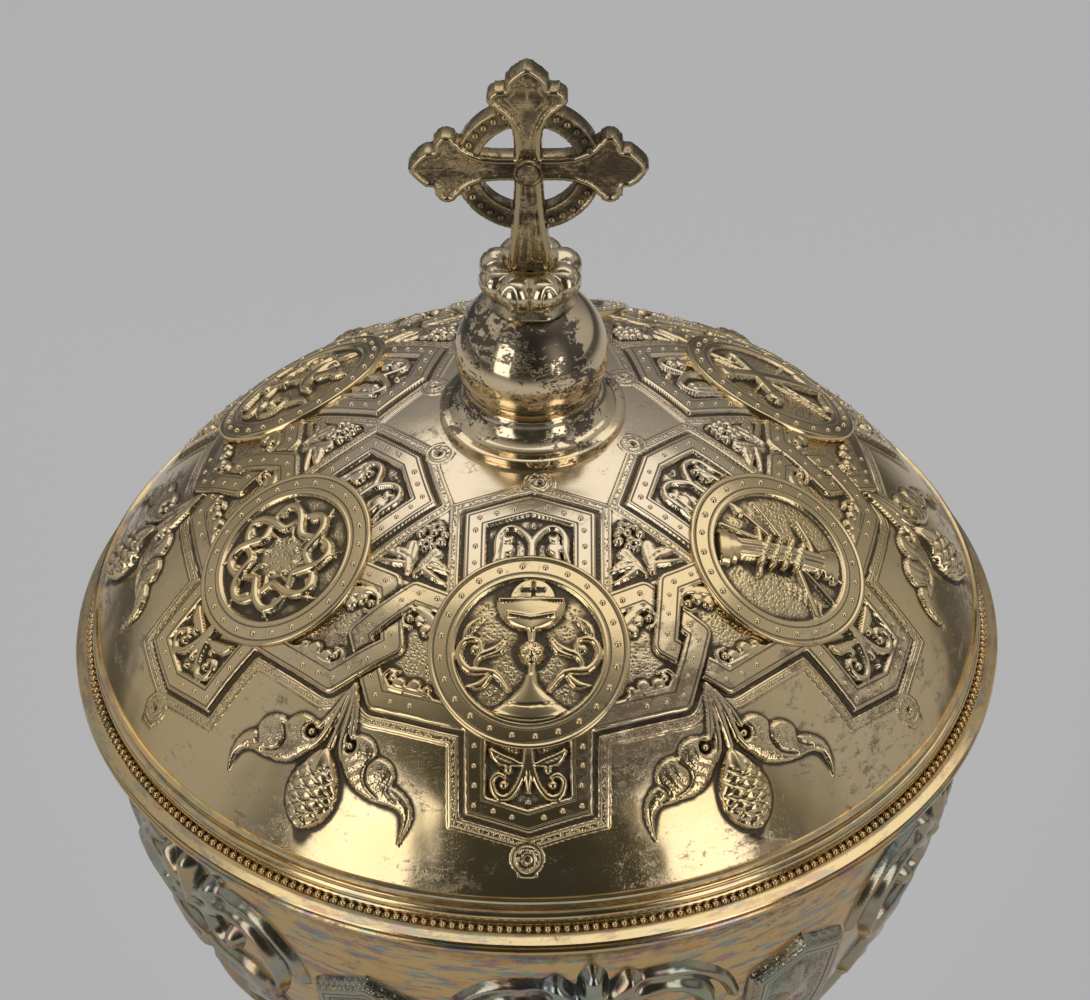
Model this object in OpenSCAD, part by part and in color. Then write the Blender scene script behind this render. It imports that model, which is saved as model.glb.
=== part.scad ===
// Ciborium: a footed vessel with a domed lid and a cross finial. Millimetres, +Z up.
// The origin is the centre of the foot's underside.

/* [Lid] */
// Radius of the circle that the lid's pearl wire follows
pearl_ring_r = 62; // [50:0.5:75]
// Height of the dome from its edge to its apex
dome_rise = 32.9; // [20:0.1:45]
// Wall of the dome
dome_wall = 1; // [0.6:0.1:1.6]
// Height of the dome's edge above the pearl wire
dome_edge_h = 4.2; // [3.6:0.1:6]
// How far the dome's edge lies inside the pearl wire's circle
dome_edge_inset = 1.1; // [0.8:0.1:2]
// Radius of the pearl wire's section
pearl_r = 0.55; // [0.3:0.05:0.8]
// Width of the flat band that slopes outwards below the pearl wire
lid_band_w = 2.2; // [1.4:0.1:3]
// Fall of the flat band, from the pearl wire to its outer edge
lid_band_drop = 0.75; // [0.3:0.05:1.2]
// Thickness of the flat band and of the bezel's flange
lid_band_t = 0.7; // [0.5:0.05:1]
// Depth of the bezel, the ring that slips into the cup
bezel_depth = 7; // [4:0.5:12]
// Wall of the bezel
bezel_wall = 0.8; // [0.5:0.1:1.2]
// Radial clearance between the bezel and the cup's throat
bezel_clearance = 0.4; // [0.3:0.05:0.8]
// Height of the gap between the lid's band and the cup's lip
seat_gap = 0.45; // [0.3:0.05:1]

/* [Medallions] */
// Number of medallions around the lid
medallion_count = 6; // [4:1:8]
// Distance of each medallion's centre from the axis
medallion_pitch_r = 37.9; // [30:0.1:45]
// Radius of a medallion
medallion_r = 13.05; // [9:0.05:15]
// Thickness of a medallion's rim
medallion_t = 0.9; // [0.5:0.1:1.5]
// Width of a medallion's flat rim
medallion_rim_w = 2.9; // [2:0.1:4]
// Thickness of the sunk field inside the rim
medallion_field_t = 0.4; // [0.2:0.1:0.8]

/* [Finial] */
// Radius of the flange under the orb
collar_r = 12.5; // [10:0.1:16]
// Height of the flange's upright edge
collar_edge_h = 1.4; // [0.8:0.1:2.5]
// Radius of the neck that carries the orb
collar_neck_r = 8.6; // [6:0.1:9.5]
// Height of the collar from its edge to the orb
collar_h = 3.6; // [2.5:0.1:6]
// Radius of the orb
orb_r = 10.2; // [9.8:0.1:14]
// Radius of the flat on which the crown stands
orb_top_r = 4.9; // [3.6:0.1:6]
// Height of the crown's base
crown_h = 4.6; // [3:0.1:7]
// Number of curled leaves in the crown
crown_leaf_count = 8; // [6:1:10]
// Radius of a curled leaf's ball
crown_leaf_r = 2.2; // [1.5:0.1:2.8]
// Length of each of the cross's three short arms
cross_arm = 15.5; // [12:0.1:20]
// Length of the cross's shaft, from the crossing to its foot
cross_shaft = 16.2; // [13:0.1:24]
// Thickness of the cross
cross_t = 2.6; // [1.8:0.1:4]
// Half width of the arms at the crossing
cross_half_w = 1.8; // [1.2:0.1:2.6]
// Half width of the shaft at its foot
cross_foot_half_w = 3; // [2.4:0.1:4]
// Half width of the arms' leaf-shaped ends
cross_leaf_half_w = 5.1; // [3.5:0.1:6.5]
// Inner radius of the ring behind the crossing
nimbus_in_r = 6.6; // [5:0.1:8]
// Outer radius of the ring behind the crossing
nimbus_out_r = 9.6; // [8.4:0.1:12]
// Thickness of the ring
nimbus_t = 2; // [1:0.1:3]
// Radius of the rivet head on the crossing
rivet_head_r = 2.05; // [1.5:0.05:2.6]
// Radius of the rivet's shank
rivet_shank_r = 0.8; // [0.5:0.05:1.2]
// Radius of the flat on each rivet head
rivet_flat_r = 1.5; // [1:0.05:2]
// Height of each rivet head
rivet_head_h = 1.3; // [0.8:0.1:2]
// Radius of the stud through the finial
stud_r = 1.5; // [1:0.1:1.9]
// Radial clearance of the stud in the loose finial pieces and in the dome
stud_clearance = 0.1; // [0.05:0.05:0.3]
// Length of stud held by the cross's foot
stud_bite = 5; // [3:0.5:8]
// Radius of the washer inside the lid
lid_washer_r = 6; // [4:0.5:9]
// Thickness of the washer inside the lid
lid_washer_t = 0.8; // [0.5:0.1:1.5]
// Size across the flats of the nut inside the lid
lid_nut_af = 7; // [5:0.5:9]
// Height of the nut inside the lid
lid_nut_h = 2.6; // [2:0.1:4]

/* [Cup] */
// Radius of the bowl's throat, outside, just above the cage
throat_r = 58.6; // [48:0.1:70]
// Depth of the bowl's round part, from the throat to the bottom
bowl_depth = 62; // [45:0.5:80]
// Height of the flared mouth above the throat
flare_h = 7.6; // [5:0.1:10]
// Wall of the bowl
bowl_wall = 1; // [0.7:0.1:1.6]
// Radius of the wire that edges the lip
lip_wire_r = 0.75; // [0.5:0.05:1]
// How far below the throat the cage begins
cage_top_drop = 1.4; // [0.5:0.1:4]
// Depth of the cage
cage_depth = 51; // [36:0.5:56]
// Thickness of the cage over the bowl
cage_t = 1.8; // [1:0.1:3]
// Number of windows in the cage
cage_window_count = 6; // [4:1:8]
// Radius of each window
cage_window_r = 8.5; // [5:0.5:12]
// Solder gap between the cage and the bowl
cage_seat = 0.08; // [0.05:0.01:0.2]
// Turn of the cage about the axis, from the lid's first medallion
cage_turn = 8; // [0:0.5:60]
// Share of the cage's depth above the windows' centres
cage_window_share = 0.4; // [0.25:0.01:0.6]
// Radius of the boss under the bowl
boss_r = 9; // [7:0.5:12]
// Thickness of the calyx
calyx_t = 2.2; // [1.5:0.1:3]

/* [Stem] */
// Length of the upper stem
stem_upper_l = 18; // [8:0.5:40]
// Length of the lower stem
stem_lower_l = 21; // [8:0.5:40]
// Radius of both stems at their waist
stem_r = 7; // [6:0.1:9]
// Radius of both stems at their ends
stem_end_r = 8.8; // [8:0.1:10]
// Height of the two rings beside the knop
knop_ring_h = 4; // [2.5:0.1:6]
// Radius of the two rings beside the knop
knop_ring_r = 11.5; // [10.5:0.1:14]
// Height of each half of the knop
knop_half_h = 12; // [8:0.5:16]
// Radius of the knop
knop_r = 24; // [18:0.5:30]
// Wall of the knop
knop_wall = 1.2; // [0.8:0.1:2]
// Height of the band around the knop
knop_band_h = 8; // [7.6:0.1:12]
// Number of bosses on the knop
knop_boss_count = 6; // [4:1:8]
// Radius of each boss
knop_boss_r = 3.6; // [2:0.1:3.8]
// How far each boss stands proud
knop_boss_h = 3; // [1.5:0.1:5]
// Height of the collar between the upper stem and the calyx
cup_collar_h = 4; // [3:0.1:6]
// Radius of the collar between the upper stem and the calyx
cup_collar_r = 12.5; // [11:0.1:15]
// Radius of the tie rod
rod_r = 3; // [2:0.1:4]
// Radial clearance around the tie rod
rod_clearance = 0.4; // [0.1:0.05:1]

/* [Foot] */
// Radius of the foot
foot_r = 76; // [62:0.5:92]
// Height of the foot, up to its neck ring
foot_h = 40; // [30:0.5:60]
// Height of the base ring
base_ring_h = 3.5; // [2.5:0.1:5]
// Width of the base ring
base_ring_w = 12; // [8:0.5:16]
// Height of the upright band on the base ring
gallery_h = 6; // [4:0.1:9]
// Wall of the upright band
gallery_wall = 2; // [1.5:0.1:3]
// How far the upright band is set back from the base ring's edge
gallery_setback = 3; // [2:0.1:5]
// Wall of the foot's dome
foot_wall = 1.4; // [1:0.1:2]
// Height of the foot's shoulder above its edge
shoulder_h = 11; // [6:0.5:16]
// Radius of the foot's shoulder
shoulder_r = 44; // [34:0.5:52]
// Radius of the foot's neck
foot_neck_r = 12; // [11:0.1:16]
// Radius of the foot's pearl wire section
foot_pearl_r = 0.8; // [0.5:0.05:1.2]
// Height of the ring on the foot's neck
neck_ring_h = 5; // [3:0.1:8]
// Thickness of the clamp plate inside the foot
clamp_plate_t = 2; // [1.5:0.1:3]
// Size across the flats of the foot nut
foot_nut_af = 13; // [10:0.5:17]
// Height of the foot nut
foot_nut_h = 6; // [4:0.5:8]
// Length of rod that shows below the foot nut
rod_tail = 2; // [1:0.5:4]

/* [Hidden] */
$fn = 96;
steps = 16;
far = 400;
// Direction of the front, along -Y
front_a = -90;

// The stack of the foot, stem, knop and cup, from the bottom up
gallery_z = base_ring_h;
foot_edge_z = gallery_z + gallery_h;
neck_ring_z = foot_h;
stem_lower_z = neck_ring_z + neck_ring_h;
knop_ring_lower_z = stem_lower_z + stem_lower_l;
knop_lower_z = knop_ring_lower_z + knop_ring_h;
knop_band_z = knop_lower_z + knop_half_h;
knop_upper_z = knop_band_z + knop_band_h;
knop_ring_upper_z = knop_upper_z + knop_half_h;
stem_upper_z = knop_ring_upper_z + knop_ring_h;
cup_collar_z = stem_upper_z + stem_upper_l;
calyx_z = cup_collar_z + cup_collar_h;
bowl_boss_h = 6;
bowl_floor_z = calyx_z + bowl_boss_h;
bowl_floor_drop = bowl_depth * sqrt(1 - pow(boss_r / throat_r, 2));
throat_z = bowl_floor_z + bowl_floor_drop;
lip_z = throat_z + flare_h;

// The mouth flares along an arc of its wall's middle, which ends at the lip wire's centre
flare_end_a = 115;
lip_wire_ring_r = pearl_ring_r + lid_band_w - lip_wire_r;
flare_mid_r = (lip_wire_ring_r - throat_r + bowl_wall / 2) / (1 + cos(flare_end_a));
flare_mid_h = flare_h / sin(flare_end_a);

// The lid, from the lip up
lid_band_z = lip_z + lip_wire_r + seat_gap;
pearl_z = lid_band_z + lid_band_t / 2 + lid_band_drop;
dome_edge_r = pearl_ring_r - dome_edge_inset;
dome_edge_z = pearl_z + dome_edge_h;
dome_r = (pow(dome_edge_r, 2) + pow(dome_rise, 2)) / (2 * dome_rise);
dome_z = dome_edge_z + dome_rise - dome_r;
bezel_r = throat_r - bowl_wall - bezel_clearance;
stud_hole_r = stud_r + stud_clearance;

// The finial, from the dome's apex up
collar_edge_z = dome_z + sqrt(pow(dome_r, 2) - pow(collar_r, 2));
collar_top_z = collar_edge_z + collar_edge_h + collar_h;
orb_z = collar_top_z + sqrt(pow(orb_r, 2) - pow(collar_neck_r, 2));
crown_z = orb_z + sqrt(pow(orb_r, 2) - pow(orb_top_r, 2));
crown_pitch_r = orb_top_r;
cross_foot_z = crown_z + crown_h;
cross_z = cross_foot_z + cross_shaft;
lid_washer_z = dome_z + sqrt(pow(dome_r - dome_wall, 2) - pow(lid_washer_r, 2)) - lid_washer_t;
lid_nut_z = lid_washer_z - lid_nut_h;

// Shares of an arm's length and of its leaf's half width, from the waist to the pointed tip
leaf_waist_share = 0.38;
leaf_lobe_share = 0.66;
notch_share = 0.8;
notch_width_share = 0.64;
ogee_share = 0.92;
ogee_width_share = 0.4;

// The foot's inside
rod_hole_r = rod_r + rod_clearance;
clamp_plate_r = foot_neck_r - foot_wall - rod_clearance;
clamp_plate_z = foot_h - foot_wall - clamp_plate_t;
foot_nut_z = clamp_plate_z - foot_nut_h;

// The cage and the calyx share the bowl's outline
cage_top_a = asin(cage_top_drop / bowl_depth);
cage_end_a = asin(min(1, (cage_top_drop + cage_depth) / bowl_depth));
cage_window_z = throat_z - cage_top_drop - cage_depth * cage_window_share;

gilt = "#b99a5b";
dark_gilt = "#8f7a4c";
steel = "#8a8a86";

// Points of an elliptical arc in the (radius, height) plane
function arc(cr, cz, rr, rz, from, to) =
    [for (i = [0 : steps]) let (a = from + (to - from) * i / steps) [cr + rr * cos(a), cz + rz * sin(a)]];
function shifted(points, dr, dz) = [for (p = points) [p[0] + dr, p[1] + dz]];
function reversed(points) = [for (i = [len(points) - 1 : -1 : 0]) points[i]];
// Points of the bowl's round part, thickened outwards by grow, between two angles below the throat
function bowl_arc(grow, from, to) = arc(0, throat_z, throat_r + grow, bowl_depth + grow, -from, -to);
function bowl_end_a(grow, r) = acos(r / (throat_r + grow));
// Points of the flared mouth, moved outwards from the wall's middle, from the throat up to the lip
function flare(grow) =
    let (centre_r = throat_r - bowl_wall / 2 + flare_mid_r)
    arc(centre_r, throat_z, flare_mid_r - grow, flare_mid_h - grow, 180, flare_end_a);

module ring(points) {
    rotate_extrude() polygon(points);
}

module tube(r, bore_r, z, h) {
    translate([0, 0, z])
        difference() {
            cylinder(r = r, h = h);
            translate([0, 0, -h]) cylinder(r = bore_r, h = 3 * h);
        }
}

// A ring with a half-round outside
module round_ring(r, bore_r, z, h) {
    bulge = h / 2;
    rotate_extrude()
        difference() {
            union() {
                translate([bore_r, z]) square([r - bulge - bore_r, h]);
                translate([r - bulge, z + bulge]) circle(r = bulge);
            }
            translate([bore_r - far, z - h]) square([far, 3 * h]);
        }
}

module wire(ring_r, z, r) {
    rotate_extrude() translate([ring_r, z]) circle(r = r, $fn = 24);
}

module dome_solid(r) {
    translate([0, 0, dome_z]) sphere(r = r, $fn = 192);
}

module lid_dome() {
    color(gilt)
        rotate_extrude($fn = 192)
            intersection() {
                translate([0, dome_z])
                    difference() {
                        circle(r = dome_r, $fn = 192);
                        circle(r = dome_r - dome_wall, $fn = 192);
                    }
                translate([stud_hole_r, dome_edge_z]) square([far, far]);
            }
}

module lid_rim() {
    wall_in_r = dome_edge_r - 2 * dome_wall;
    lip_t = 0.6;
    lip_h = 0.7;
    torus_r = 0.9;
    torus_gap = 0.25;
    torus_z = pearl_z + pearl_r + torus_gap + torus_r;
    web_inset = 0.2;
    web_r = dome_edge_r - web_inset;
    band_r = pearl_ring_r + lid_band_w;
    color(gilt)
        rotate_extrude()
            difference() {
                union() {
                    translate([wall_in_r, lid_band_z + lid_band_t])
                        square([web_r - wall_in_r, dome_edge_z - lid_band_z - lid_band_t]);
                    translate([dome_edge_r, dome_edge_z - lip_h]) square([lip_t, 2 * lip_h]);
                    translate([web_r - lip_t, dome_edge_z - lip_h]) square([2 * lip_t, lip_h]);
                    translate([web_r, torus_z]) circle(r = torus_r, $fn = 32);
                    polygon([
                        [wall_in_r, lid_band_z],
                        [band_r, lid_band_z],
                        [band_r, lid_band_z + lid_band_t / 2],
                        [pearl_ring_r, pearl_z],
                        [wall_in_r, pearl_z]
                    ]);
                }
                translate([pearl_ring_r, pearl_z]) circle(r = pearl_r, $fn = 24);
            }
}

module lid_pearl_wire() {
    color(gilt) wire(pearl_ring_r, pearl_z, pearl_r);
}

module lid_bezel() {
    flange_r = dome_edge_r - 2 * dome_wall;
    color(gilt)
        ring([
            [bezel_r - bezel_wall, lid_band_z + lid_band_t],
            [flange_r, lid_band_z + lid_band_t],
            [flange_r, lid_band_z],
            [bezel_r, lid_band_z],
            [bezel_r, lid_band_z - bezel_depth],
            [bezel_r - bezel_wall, lid_band_z - bezel_depth]
        ]);
}

module medallion(i) {
    polar = asin(medallion_pitch_r / dome_r);
    color(gilt)
        intersection() {
            difference() {
                dome_solid(dome_r + medallion_t);
                dome_solid(dome_r);
                difference() {
                    medallion_cut(i, polar, medallion_r - medallion_rim_w);
                    dome_solid(dome_r + medallion_field_t);
                }
            }
            medallion_cut(i, polar, medallion_r);
        }
}

// A round column through the dome at a medallion's place
module medallion_cut(i, polar, r) {
    depth = 8;
    translate([0, 0, dome_z])
        rotate([0, 0, front_a + i * 360 / medallion_count])
            rotate([0, polar, 0])
                translate([0, 0, dome_r - depth])
                    cylinder(r = r, h = 2 * depth);
}

module finial_collar() {
    edge_top_z = collar_edge_z + collar_edge_h;
    hollow = collar_r - collar_neck_r;
    color(gilt)
        difference() {
            ring(concat(
                [[stud_hole_r, collar_edge_z - dome_wall], [collar_r, collar_edge_z - dome_wall]],
                [[collar_r, edge_top_z]],
                arc(collar_r, collar_top_z, hollow, collar_h, -90, -180),
                [[stud_hole_r, collar_top_z]]
            ));
            dome_solid(dome_r);
        }
}

module finial_orb() {
    color(gilt)
        rotate_extrude()
            intersection() {
                translate([0, orb_z]) circle(r = orb_r, $fn = 128);
                translate([stud_hole_r, collar_top_z]) square([far, crown_z - collar_top_z]);
            }
}

module finial_crown() {
    base_inset = 0.3;
    base_r = orb_top_r - base_inset;
    leaf_overlap = 1;
    color(dark_gilt)
        difference() {
            union() {
                translate([0, 0, crown_z]) cylinder(r = base_r, h = crown_h);
                for (i = [0 : crown_leaf_count - 1])
                    rotate([0, 0, (i + 0.5) * 360 / crown_leaf_count])
                        translate([crown_pitch_r, 0, cross_foot_z + leaf_overlap - crown_leaf_r])
                            sphere(r = crown_leaf_r, $fn = 32);
            }
            translate([0, 0, crown_z - crown_h]) cylinder(r = stud_hole_r, h = 3 * crown_h);
            translate([-cross_foot_half_w, -cross_t / 2, cross_foot_z])
                cube([2 * cross_foot_half_w, cross_t, crown_h]);
            translate([-far / 2, -far / 2, crown_z - crown_h]) cube([far, far, crown_h]);
        }
}

// One leaf-shaped arm end, with its tip on the +Y axis
module cross_arm_shape() {
    lobe_r = 1.4;
    lobe_x = cross_leaf_half_w - lobe_r;
    lobe_y = cross_arm * leaf_lobe_share;
    waist_y = cross_arm * leaf_waist_share;
    for (side = [0, 1])
        mirror([side, 0]) {
            polygon([
                [0, 0], [cross_half_w, 0], [cross_half_w, waist_y],
                [lobe_x, lobe_y - lobe_r], [lobe_x, lobe_y + lobe_r],
                [cross_leaf_half_w * notch_width_share, cross_arm * notch_share],
                [cross_leaf_half_w * ogee_width_share, cross_arm * ogee_share],
                [0, cross_arm]
            ]);
            translate([lobe_x, lobe_y]) circle(r = lobe_r, $fn = 24);
        }
}

module finial_cross() {
    color(dark_gilt)
        difference() {
            translate([0, 0, cross_z])
                rotate([90, 0, 0]) {
                    linear_extrude(cross_t, center = true) {
                        for (a = [-90, 0, 90]) rotate(a) cross_arm_shape();
                        polygon([
                            [-cross_half_w, 0], [cross_half_w, 0],
                            [cross_foot_half_w, -cross_shaft], [-cross_foot_half_w, -cross_shaft]
                        ]);
                    }
                    linear_extrude(nimbus_t, center = true)
                        difference() {
                            circle(r = nimbus_out_r);
                            circle(r = nimbus_in_r);
                        }
                }
            translate([0, 0, cross_foot_z - stud_bite]) cylinder(r = stud_r / 2, h = 2 * stud_bite, $fn = 32);
            translate([0, cross_t, cross_z])
                rotate([90, 0, 0]) cylinder(r = rivet_shank_r, h = 2 * cross_t, $fn = 32);
        }
}

module cross_rivet() {
    color(gilt)
        translate([0, 0, cross_z])
            rotate([90, 0, 0]) {
                cylinder(r = rivet_shank_r, h = cross_t, center = true, $fn = 32);
                for (side = [0, 1])
                    mirror([0, 0, side])
                        translate([0, 0, cross_t / 2])
                            cylinder(r1 = rivet_head_r, r2 = rivet_flat_r, h = rivet_head_h, $fn = 48);
            }
}

module finial_stud() {
    tail = 1;
    color(steel)
        ring([
            [0, lid_nut_z - tail], [stud_r, lid_nut_z - tail], [stud_r, cross_foot_z],
            [stud_r / 2, cross_foot_z], [stud_r / 2, cross_foot_z + stud_bite],
            [0, cross_foot_z + stud_bite]
        ]);
}

module lid_washer() {
    color(gilt)
        intersection() {
            tube(lid_washer_r, stud_hole_r, lid_washer_z, 3 * lid_washer_t);
            dome_solid(dome_r - dome_wall);
        }
}

module hex_nut(across_flats, bore_r, z, h) {
    translate([0, 0, z])
        difference() {
            cylinder(r = across_flats / sqrt(3), h = h, $fn = 6);
            translate([0, 0, -h]) cylinder(r = bore_r, h = 3 * h, $fn = 48);
        }
}

module lid_nut() {
    color(steel) hex_nut(lid_nut_af, stud_r, lid_nut_z, lid_nut_h);
}

module cup_bowl() {
    color(gilt)
        rotate_extrude()
            difference() {
                polygon(concat(
                    [[0, bowl_floor_z]],
                    reversed(bowl_arc(0, cage_end_a, bowl_end_a(0, boss_r))),
                    reversed(bowl_arc(0, cage_top_a, cage_end_a)),
                    reversed(bowl_arc(0, 0, cage_top_a)),
                    flare(bowl_wall / 2),
                    reversed(flare(-bowl_wall / 2)),
                    arc(0, throat_z, throat_r - bowl_wall, bowl_floor_drop - bowl_wall, 0, -90)
                ));
                translate([lip_wire_ring_r, lip_z]) circle(r = lip_wire_r, $fn = 24);
            }
}

module cup_lip_wire() {
    color(gilt) wire(lip_wire_ring_r, lip_z, lip_wire_r);
}

module cup_cage() {
    reach = throat_r + 3 * cage_t;
    color(dark_gilt)
        difference() {
            ring(concat(
                bowl_arc(cage_seat, cage_top_a, cage_end_a),
                reversed(bowl_arc(cage_t, cage_top_a, cage_end_a))
            ));
            for (i = [0 : cage_window_count - 1])
                translate([0, 0, cage_window_z])
                    rotate([0, 0, front_a + cage_turn + i * 360 / cage_window_count])
                        rotate([0, 90, 0]) cylinder(r = cage_window_r, h = reach);
        }
}

module cup_calyx() {
    cup_a = bowl_end_a(0, boss_r);
    color(gilt)
        rotate_extrude()
            difference() {
                polygon(concat(
                    [[boss_r, calyx_z], [cup_collar_r, calyx_z]],
                    reversed(bowl_arc(calyx_t, cage_end_a, bowl_end_a(calyx_t, cup_collar_r))),
                    bowl_arc(0, cage_end_a, cup_a)
                ));
                translate([0, calyx_z - far]) square([far, far]);
            }
}

module bowl_boss() {
    color(steel) tube(boss_r, rod_r, calyx_z, bowl_boss_h);
}

module cup_collar() {
    color(gilt) round_ring(cup_collar_r, rod_hole_r, cup_collar_z, cup_collar_h);
}

// A waisted tube between two stem pieces
module stem(z, l) {
    color(gilt)
        ring(concat(
            [[rod_hole_r, z]],
            arc(stem_end_r, z + l / 2, stem_end_r - stem_r, l / 2, 270, 90),
            [[rod_hole_r, z + l]]
        ));
}

// Half of the knop, closed by a floor where it meets its ring
module knop_half() {
    inner_r = knop_r - knop_wall;
    start_a = acos(knop_ring_r / knop_r);
    rise = knop_half_h / sin(start_a);
    inner_a = acos(knop_ring_r / inner_r);
    color(gilt)
        ring(concat(
            arc(0, 0, knop_r, rise, 0, start_a),
            [[rod_hole_r, knop_half_h], [rod_hole_r, knop_half_h - knop_wall]],
            reversed(arc(0, 0, inner_r, (knop_half_h - knop_wall) / sin(inner_a), 0, inner_a))
        ));
}

module knop_upper() {
    translate([0, 0, knop_upper_z]) knop_half();
}

module knop_lower() {
    translate([0, 0, knop_band_z]) mirror([0, 0, 1]) knop_half();
}

module knop_band() {
    color(gilt) tube(knop_r, knop_r - 2 * knop_wall, knop_band_z, knop_band_h);
}

module knop_boss(i) {
    color(dark_gilt)
        difference() {
            translate([0, 0, knop_band_z + knop_band_h / 2])
                rotate([0, 0, front_a + i * 360 / knop_boss_count])
                    rotate([0, 90, 0]) cylinder(r = knop_boss_r, h = knop_r + knop_boss_h, $fn = 48);
            translate([0, 0, knop_band_z - knop_band_h]) cylinder(r = knop_r, h = 3 * knop_band_h);
        }
}

module knop_ring_upper() {
    color(gilt) round_ring(knop_ring_r, rod_hole_r, knop_ring_upper_z, knop_ring_h);
}

module knop_ring_lower() {
    color(gilt) round_ring(knop_ring_r, rod_hole_r, knop_ring_lower_z, knop_ring_h);
}

module foot_neck_ring() {
    color(gilt) round_ring(foot_neck_r + neck_ring_h / 2, rod_hole_r, neck_ring_z, neck_ring_h);
}

// The outline of the foot's inside, from its edge over the shoulder to the neck
function foot_outline(edge_r) =
    let (neck_z = foot_h - foot_wall)
    concat(
        arc(shoulder_r, foot_edge_z, edge_r - shoulder_r, shoulder_h, 0, 90),
        arc(shoulder_r, neck_z, shoulder_r - foot_neck_r, neck_z - foot_edge_z - shoulder_h, 270, 180)
    );

module foot_dome() {
    flange_r = foot_r - gallery_setback;
    edge_r = flange_r - 2 * foot_pearl_r - gallery_wall;
    outline = foot_outline(edge_r);
    color(gilt)
        ring(concat(
            [[flange_r, foot_edge_z], [flange_r, foot_edge_z + foot_wall]],
            shifted(outline, 0, foot_wall),
            [[rod_hole_r, foot_h], [rod_hole_r, foot_h - foot_wall]],
            reversed(shifted(outline, -foot_wall, 0))
        ));
}

module foot_pearl_wire() {
    wire_ring_r = foot_r - gallery_setback - foot_pearl_r;
    color(gilt)
        wire(wire_ring_r, foot_edge_z + foot_wall + foot_pearl_r, foot_pearl_r);
}

module foot_gallery() {
    out_r = foot_r - gallery_setback;
    color(gilt) tube(out_r, out_r - gallery_wall, gallery_z, gallery_h);
}

module foot_base_ring() {
    color(gilt)
        difference() {
            round_ring(foot_r, foot_r - base_ring_w, 0, base_ring_h);
            translate([0, 0, -far]) cylinder(r = far, h = far);
        }
}

module tie_rod() {
    color(steel)
        translate([0, 0, foot_nut_z - rod_tail])
            cylinder(r = rod_r, h = bowl_floor_z - foot_nut_z + rod_tail, $fn = 48);
}

module clamp_plate() {
    color(steel) tube(clamp_plate_r, rod_hole_r, clamp_plate_z, clamp_plate_t);
}

module foot_nut() {
    color(steel) hex_nut(foot_nut_af, rod_r, foot_nut_z, foot_nut_h);
}

lid_dome();
lid_rim();
lid_pearl_wire();
lid_bezel();
for (i = [1 : medallion_count])
    medallion(i - 1);
finial_collar();
finial_orb();
finial_crown();
finial_cross();
cross_rivet();
finial_stud();
lid_washer();
lid_nut();
cup_bowl();
cup_lip_wire();
cup_cage();
cup_calyx();
bowl_boss();
cup_collar();
stem(stem_upper_z, stem_upper_l);  // stem_upper
knop_ring_upper();
knop_upper();
knop_band();
for (i = [1 : knop_boss_count])
    knop_boss(i - 1);
knop_lower();
knop_ring_lower();
stem(stem_lower_z, stem_lower_l);  // stem_lower
foot_neck_ring();
foot_dome();
foot_pearl_wire();
foot_gallery();
foot_base_ring();
tie_rod();
clamp_plate();
foot_nut();
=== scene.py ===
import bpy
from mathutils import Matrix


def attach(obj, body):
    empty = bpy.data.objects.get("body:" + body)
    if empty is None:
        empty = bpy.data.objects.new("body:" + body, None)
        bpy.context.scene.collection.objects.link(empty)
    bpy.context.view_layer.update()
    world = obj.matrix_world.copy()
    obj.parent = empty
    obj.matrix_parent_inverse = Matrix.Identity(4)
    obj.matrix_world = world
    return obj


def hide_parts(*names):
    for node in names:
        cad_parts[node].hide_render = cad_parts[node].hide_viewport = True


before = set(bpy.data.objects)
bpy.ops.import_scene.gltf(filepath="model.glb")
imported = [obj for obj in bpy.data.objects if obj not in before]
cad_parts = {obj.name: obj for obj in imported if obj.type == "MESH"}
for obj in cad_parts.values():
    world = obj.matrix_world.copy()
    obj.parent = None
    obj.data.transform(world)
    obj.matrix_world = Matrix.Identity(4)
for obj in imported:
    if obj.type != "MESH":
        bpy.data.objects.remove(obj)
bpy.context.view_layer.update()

import math

import bpy
import numpy as np
from mathutils import Matrix, Vector

# ---------------------------------------------------------------- sizes, in millimetres
MM = 0.001
DOME_R = 72.81
DOME_Z = 169.455
MEDALLION_RING_R = 37.9
MEDALLION_R = 13.05
CROSSING_RING_R = 42.0
SPRIG_RING_R = 53.0
GRAPE_RING_R = 24.0
PEARL_Z = 205.165
SECTORS = 6
SECTOR_A = 60.0
FINE = 1.0


# ---------------------------------------------------------------- small mesh tools
def mesh_object(name, points, faces, layers, sharp=None):
    """A smooth mesh from points in millimetres and arrays of faces; edges over the sharp angle stay crisp."""
    mesh = bpy.data.meshes.new(name)
    points = np.asarray(points, float)
    faces = [np.asarray(f, np.int32) for f in faces if len(f)]
    loops = np.concatenate([f.ravel() for f in faces])
    sizes = np.concatenate([np.full(len(f), f.shape[1]) for f in faces])
    mesh.vertices.add(len(points))
    mesh.vertices.foreach_set("co", (points * MM).astype(np.float32).ravel())
    mesh.loops.add(len(loops))
    mesh.loops.foreach_set("vertex_index", loops)
    mesh.polygons.add(len(sizes))
    starts = np.concatenate([[0], np.cumsum(sizes)[:-1]]).astype(np.int32)
    mesh.polygons.foreach_set("loop_start", starts)
    mesh.update(calc_edges=True)
    mesh.validate()
    mesh.polygons.foreach_set("use_smooth", np.full(len(sizes), True))
    for layer, values in layers.items():
        item = mesh.attributes.new(layer, "FLOAT", "POINT")
        item.data.foreach_set("value", np.asarray(values, np.float32).ravel())
    if sharp is not None:
        mesh.set_sharp_from_angle(angle=math.radians(sharp))
    obj = bpy.data.objects.new(name, mesh)
    bpy.context.scene.collection.objects.link(obj)
    return obj


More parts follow.
